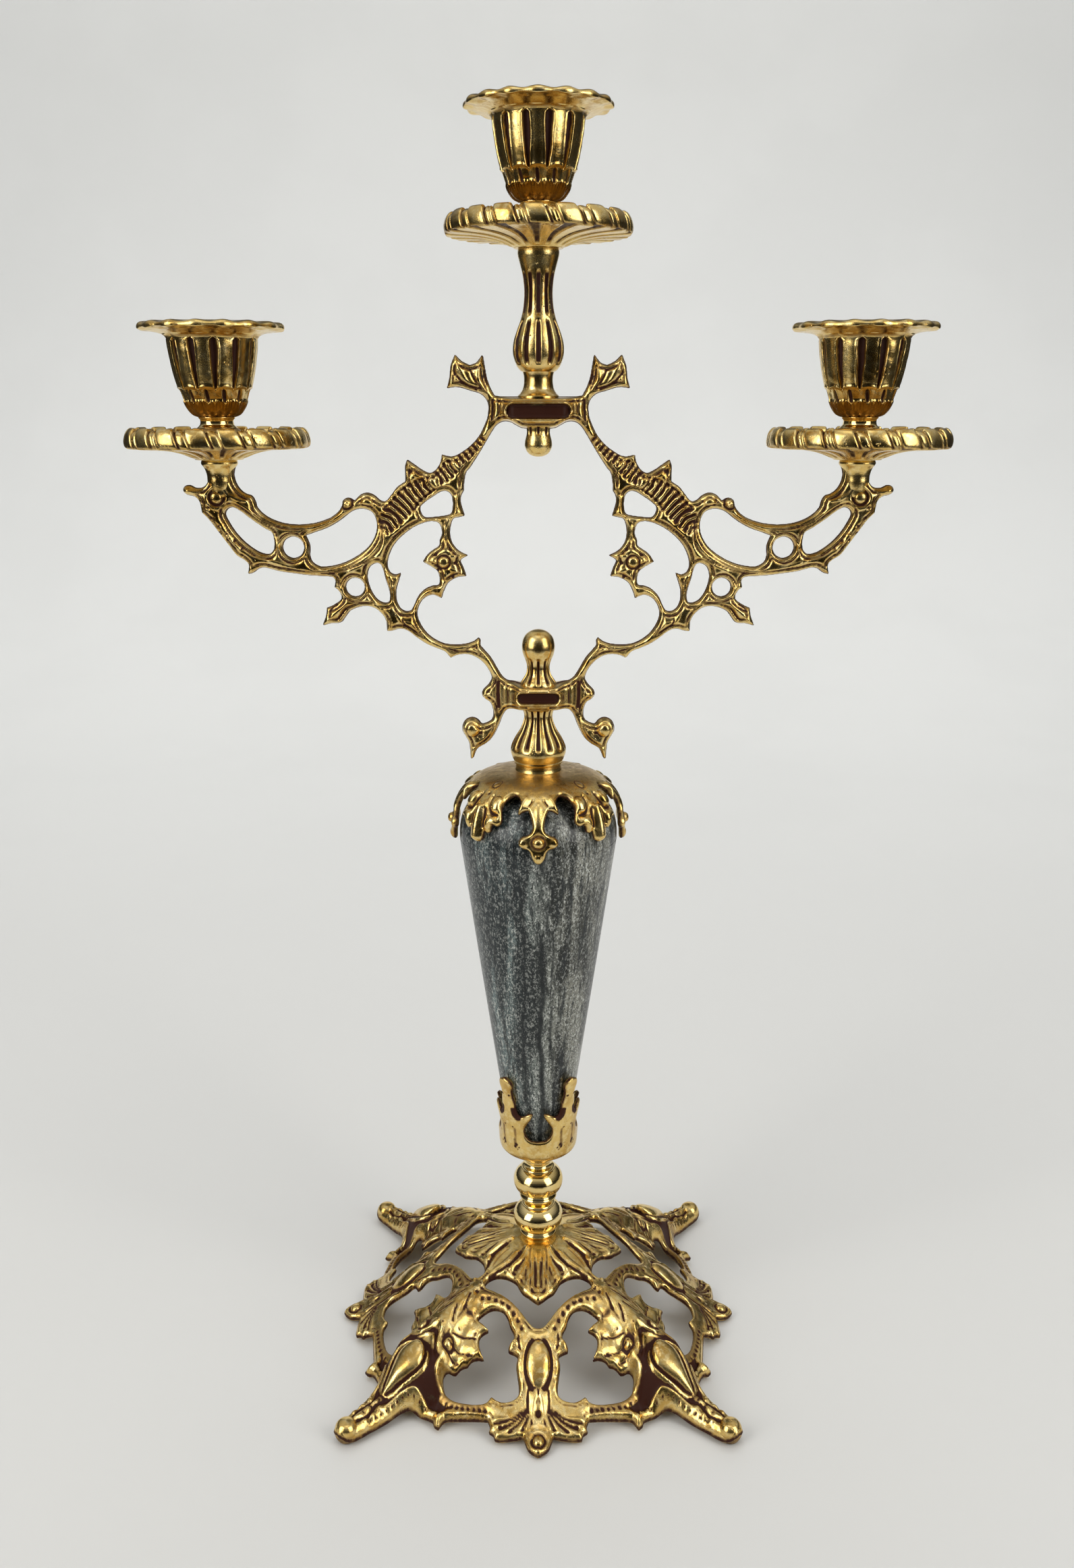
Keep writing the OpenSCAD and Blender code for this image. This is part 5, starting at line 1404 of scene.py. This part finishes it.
def build_cup(side, seed, material):
    x0, z0 = PANS[side]
    wob = wobble(seed)
    prof = rounded([(2.2, 12.33, 1), (4.9, 12.33), (5.8, 12.42), (6.9, 12.9), (7.8, 13.8), (8.5, 15.0),
                    (8.95, 16.1), (9.3, 17.0), (9.9, 18.8), (10.7, 21.2), (11.5, 24.4), (12.1, 27.8),
                    (12.6, 31), (12.85, 33.4), (13.1, 34.2), (13.8, 34.9), (15.4, 35.5), (18, 35.95),
                    (20.2, 36.2, 1), (20.75, 36.45), (20.85, 37.1), (20.5, 37.8), (19.6, 38.25), (17.4, 38.4),
                    (14, 38.35), (12, 38.3), (11.3, 38.1), (11.0, 37.5, 1), (11.0, 29.2, 1), (8.1, 17.5, 1),
                    (4.8, 17.2, 1), (4.7, 14.25, 1), (2.2, 14.22, 1)], 5)
    step = 2 * math.pi / GROOVES

    def grooves(T, R, Z):
        outer = (R > np.interp(Z, [12, 17, 29, 36], [3.0, 8.6, 11.2, 12.0]) + 0.35) & (Z < 35)
        a = np.mod(T + 0.012 * wob(T, Z) + 0.02, step) - step / 2
        lat = np.abs(a) * R
        half = np.interp(Z, [19.2, 20.2, 23, 27, 31, 33.2, 34], [0.05, 0.30, 0.62, 0.88, 1.06, 0.95, 0.05])
        half = half * (1 + 0.12 * wob(2 * T + 1, Z * 1.4))
        tall = ease(half - lat, -0.22, 0.30) * outer * ease(Z, 19.2, 20.2) * (1 - ease(Z, 33.4, 34.0))
        lip = np.exp(-((lat - half - 0.42) / 0.26) ** 2) * outer
        lip = lip * ease(Z, 19.6, 21) * (1 - ease(Z, 33.6, 34.2))
        b = np.mod(T + step / 2 + 0.02 + 0.016 * wob(T + 2, Z), step) - step / 2
        lat2 = np.abs(b + 0.012 * (Z - 17)) * R
        half2 = np.interp(Z, [15.9, 16.6, 18.2, 19.4, 20.0], [0.1, 0.5, 0.6, 0.5, 0.05])
        short = ease(half2 - lat2, -0.2, 0.26) * outer * ease(Z, 15.8, 16.4) * (1 - ease(Z, 19.4, 20.0))
        # shoulder line between the two tiers: arches over the short grooves
        w = np.clip(b / (step / 2), -1, 1)
        arch = 19.3 + 1.3 * np.sqrt(np.clip(1 - w * w, 0, 1))
        shoulder = np.exp(-((Z - arch) / 0.34) ** 2) * outer * (1 - tall)
        tier = ease(Z, arch - 0.3, arch + 0.3) * outer
        return tall, lip, short, shoulder, tier, b, outer

    def push(T, R, Z):
        tall, lip, short, shoulder, tier, b, outer = grooves(T, R, Z)
        g = -1.05 * tall + 0.16 * lip - 0.7 * short + 0.28 * shoulder
        g = g + outer * (0.36 * np.cos(np.clip(b / step, -0.5, 0.5) * np.pi) - 0.2)
        g = g - 0.22 * (1 - tier) * outer * ease(Z, 16.4, 17.2)
        teeth = ease(Z, 13.4, 16.4) * ease(Z, 17.2, 16.2) * (R > 6.5)
        g = g + teeth * (0.05 + 0.11 * np.cos(60 * T + 0.8 * wob(T, Z)))
        lobe = ease(R, 15.5, 20) * (Z > 36)
        edge = np.cos(16 * T + 0.4 * wob(T, 0))
        g = g + lobe * (0.28 * edge - 0.18)
        g = g + 0.04 * wob(2 * T, 3 * Z) * ((Z > 36) | outer)
        return g

    def shade(T, R, Z):
        tall, _, short = grooves(T, R, Z)[:3]
        d = np.maximum(tall * 0.98, short * 0.85)
        bore = ((R < np.interp(Z, [14, 17, 29, 36], [4.9, 8.2, 11.1, 11.1]) + 0.02) & (Z > 14.2)) * 0.35
        d = np.maximum(d, bore)
        d = np.maximum(d, 0.34 * ease(Z, 15.6, 12.6) * (R > 5))
        # painted shadow: a dark band round the body just under the flange
        d = np.maximum(d, 0.35 * np.exp(-((Z - 34.4) / 0.5) ** 2) * (R < 14.4) * (R > 12))
        return np.clip(d, 0, 1)

    v, f, d = lathe(prof, 576, None, shade, (x0, 0, z0), 0.38, push)
    turn = np.arctan2(v[:, 1], v[:, 0] - x0)
    ragged = 16.6 + 0.5 * np.cos(15 * turn + 1.5 * np.sin(2 * turn)) + 0.35 * np.cos(30 * turn)
    obj = make_mesh("cup_" + side, v, f, dark=d, amber=ease(v[:, 2] - z0, ragged + 0.3, ragged - 0.5))
    finish_piece(obj, "cup_" + side, "candle_cup_" + side, material)


def build_collar(side, material):
    x0, z0 = PANS[side]
    v, f, d = lathe(rounded([(2.15, 9.03, 1), (5.5, 9.03), (5.6, 9.3), (5.2, 9.7), (4.9, 10.1), (4.78, 10.8),
                             (4.85, 11.4), (5.2, 11.8), (5.3, 12.1), (5.2, 12.27, 1), (2.15, 12.27, 1)]), 128,
                    centre=(x0, 0, z0), fine=0.15)
    obj = make_mesh("collar_" + side, v, f, dark=d)
    finish_piece(obj, "collar_" + side, "neck_collar_" + side, material)


def bead_profile(z0, h, zc, neck):
    """A flat foot, a round bead with its middle zc up, and a neck to the top at h."""
    bead, hollow = 8.4, 5.2
    arc = [(bead - hollow + hollow * math.cos(a), zc + hollow * math.sin(a))
           for a in np.radians(np.arange(-62, 61, 6))]
    foot = rounded([(2.65, 0.03, 1), (5.5, 0.03), (6.1, 0.3), (6.3, 0.8), (6.0, 1.35, 1)])
    top = rounded([(5.5, zc + 4.6, 1), (5.6, zc + 4.9), (5.35, zc + 5.4), (neck + 0.5, zc + 5.9),
                   (neck + 0.05, 0.5 * (zc + 6 + h)), (neck + 0.25, h - 0.05, 1), (2.65, h - 0.03, 1)])
    return np.vstack([foot, arc, top]) + (0, z0)


def build_knob(name, node, z0, h, zc, neck, material):
    v, f, _ = lathe(bead_profile(z0, h, zc, neck), 192, fine=0.2)
    rad, z = np.hypot(v[:, 0], v[:, 1]), v[:, 2] - z0
    corner = np.maximum(np.exp(-((z - 1.45) / 0.3) ** 2), np.exp(-((z - zc - 4.75) / 0.3) ** 2)) * (rad < 6.6)
    obj = make_mesh(name, v, f, dark=0.7 * corner)
    finish_piece(obj, STAND, node, material)


def build_marble(material):
    z = 70.0
    prof = rounded([(3.6, z + 0.04, 1), (8.9, z + 0.04), (9.35, z + 0.5), (9.55, z + 1.6), (13.6, z + 29),
                    (19.0, z + 66.4), (24.3, z + 104.0), (24.75, z + 107.6), (24.85, z + 109.4),
                    (24.65, z + 112.2), (23.9, z + 115.4), (22.3, z + 118.5), (19.9, z + 121.3),
                    (16.9, z + 123.5), (13.5, z + 124.75), (11.9, z + 125.1), (3.6, z + 125.15, 1)], 8)
    v, f, d = lathe(prof, 256, fine=0.9)
    obj = make_mesh("marble", v, f, dark=d)
    finish_piece(obj, STAND, "marble_stem", material)


# ---------------------------------------------------------------- the rest of the hardware

def build_hardware(steel):
    for name in ("base_washer", "base_nut", "tie_rod", "cup_screw_left", "cup_screw_centre",
                 "cup_screw_right"):
        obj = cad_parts[name]
        obj.data.materials.clear()
        obj.data.materials.append(steel)


# ---------------------------------------------------------------- backdrop, light, camera

# the camera, solved from the photograph: focal length in mm, place in m, and degrees up from straight down
LENS = 31.44
EYE = (-0.00041, -0.4143, 0.3102)
TILT = 74.44

def stage_mesh(name, verts, faces, material):
    """A smooth mesh in metres."""
    mesh = bpy.data.meshes.new(name)
    mesh.from_pydata(verts, [], faces)
    mesh.polygons.foreach_set("use_smooth", np.ones(len(faces), bool))
    mesh.materials.append(material)
    mesh.update()
    return add_object(name, mesh)


def sweep(name, paper_material, half_width, front, lift=0.0):
    """A floor that runs back and curves up into a wall."""
    bend = 0.75
    run = [(front, 0.0)]
    run += [(bend + bend * math.sin(a), bend - bend * math.cos(a)) for a in np.linspace(0, math.pi / 2, 36)]
    run += [(2 * bend, 3.0)]
    verts = [(x, y, z + lift) for y, z in run for x in (-half_width, half_width)]
    faces = [(2 * i, 2 * i + 1, 2 * i + 3, 2 * i + 2) for i in range(len(run) - 1)]
    return stage_mesh(name, verts, faces, paper_material)


def area(name, loc, target, size, radiance, colour, glossy=True):
    """A soft box of the given brightness."""
    lamp = bpy.data.lights.new(name, "AREA")
    lamp.shape = "RECTANGLE"
    lamp.size, lamp.size_y = size
    lamp.energy = radiance * math.pi * size[0] * size[1]
    lamp.color = colour
    obj = add_object(name, lamp)
    obj.location = loc
    obj.rotation_euler = (Vector(target) - Vector(loc)).to_track_quat("-Z", "Y").to_euler()
    obj.visible_glossy = glossy
    return obj


def build_screens():
    """Pale screens round the table, seen only from the side and from behind; their paper glows, painted light
    in place of lamps reaching them.
    """
    turn = np.linspace(0, 2 * math.pi, 97)[:-1]
    run = [(0.01, -0.004), (2.2, -0.004), (2.5, 0.06), (2.75, 0.3), (2.8, 0.7), (2.8, 3.4)]
    verts = [(rad * math.cos(a), rad * math.sin(a), z) for rad, z in run for a in turn]
    n = len(turn)
    faces = [(i * n + j, i * n + (j + 1) % n, (i + 1) * n + (j + 1) % n, (i + 1) * n + j)
             for i in range(len(run) - 1) for j in range(n)]
    screens = stage_mesh("screens", verts, faces, paper("screen_paper", 0.42))
    screens.visible_glossy = screens.visible_diffuse = screens.visible_shadow = False
    return screens


def build_room():
    """The world light: white ceiling, greyer walls, and a darker room behind the camera."""
    world = bpy.data.worlds.new("room")
    world.use_nodes = True
    tree = world.node_tree
    bg = tree.nodes["Background"]
    bg.inputs[0].default_value = (0.93, 0.935, 0.93, 1)
    where = tree.nodes.new("ShaderNodeTexCoord")
    split = tree.nodes.new("ShaderNodeSeparateXYZ")
    times = tree.nodes.new("ShaderNodeMath")
    times.operation = "MULTIPLY"
    tree.links.new(where.outputs["Generated"], split.inputs[0])
    for i, (axis, a, b, c, d) in enumerate((("Z", 0.10, 0.90, 0.03, 0.64), ("Y", -0.97, -0.55, 0.35, 1.0))):
        ramp = tree.nodes.new("ShaderNodeMapRange")
        ramp.interpolation_type = "SMOOTHSTEP"
        tree.links.new(split.outputs[axis], ramp.inputs["Value"])
        for key, value in (("From Min", a), ("From Max", b), ("To Min", c), ("To Max", d)):
            ramp.inputs[key].default_value = value
        tree.links.new(ramp.outputs["Result"], times.inputs[i])
    tree.links.new(times.outputs[0], bg.inputs[1])
    bpy.context.scene.world = world


def build_camera():
    """The photograph's viewpoint, solved from the picture."""
    cam = bpy.data.cameras.new("camera")
    cam.lens = LENS
    cam.sensor_fit = "AUTO"
    cam.sensor_width = 36
    cam.clip_start, cam.clip_end = 0.01, 20
    eye = add_object("camera", cam)
    eye.location = EYE
    eye.rotation_euler = (math.radians(TILT), 0, 0)
    bpy.context.scene.camera = eye
    return eye


def build_stage():
    roll_paper = paper()
    floor = sweep("backdrop", roll_paper, 3.0, -1.7)
    floor.visible_glossy = False
    # polished brass mirrors the paper only as far as a real roll reaches, with the dim room round it
    roll = sweep("backdrop_roll", roll_paper, 0.62, -0.42, 0.0004)
    roll.visible_camera = roll.visible_diffuse = roll.visible_shadow = False
    warm, cool = (1.0, 0.975, 0.93), (0.98, 0.99, 1.0)
    table, soft = (0, 0, 0.2), (0.66, 1.1)
    things = [floor, roll, build_screens(),
              area("softbox_left", (-0.92, -0.70, 0.70), table, soft, 3.5, warm),
              area("softbox_right", (0.92, -0.70, 0.70), table, soft, 3.2, warm),
              area("overhead", (0, 0.4, 1.7), (0, 0.2, 0), (1.8, 1.4), 0.60, cool, False),
              area("wall_wash", (0, 0.75, 1.9), (0, 1.5, 0.75), (2.6, 0.5), 1.9, cool, False),
              area("top_strip", (0, -0.25, 1.25), table, (0.5, 0.4), 0.9, (1.0, 0.98, 0.95))]
    build_room()
    build_camera()
    view = bpy.context.scene.view_settings
    view.view_transform = "Standard"
    view.look = "None"
    view.exposure = 0.0


# ---------------------------------------------------------------- all together

CAST = cast_brass()
TURNED = turned_brass()
STONE = marble_stone()
STEEL = hardware_steel()

build_base(CAST)
build_branch(CAST)
build_crown(CAST)
build_calyx(CAST)
for i, side in enumerate(("left", "centre", "right")):
    build_pan(side, 11 + i, CAST)
    build_cup(side, 31 + i, CAST)
    build_collar(side, TURNED)
build_knob("knob_lower", "lower_knob", 35.0, 13.6, 6.4, 3.9, TURNED)
build_knob("knob_upper", "upper_knob", 48.6, 14.0, 6.6, 4.1, TURNED)
build_marble(STONE)
build_hardware(STEEL)
build_stage()
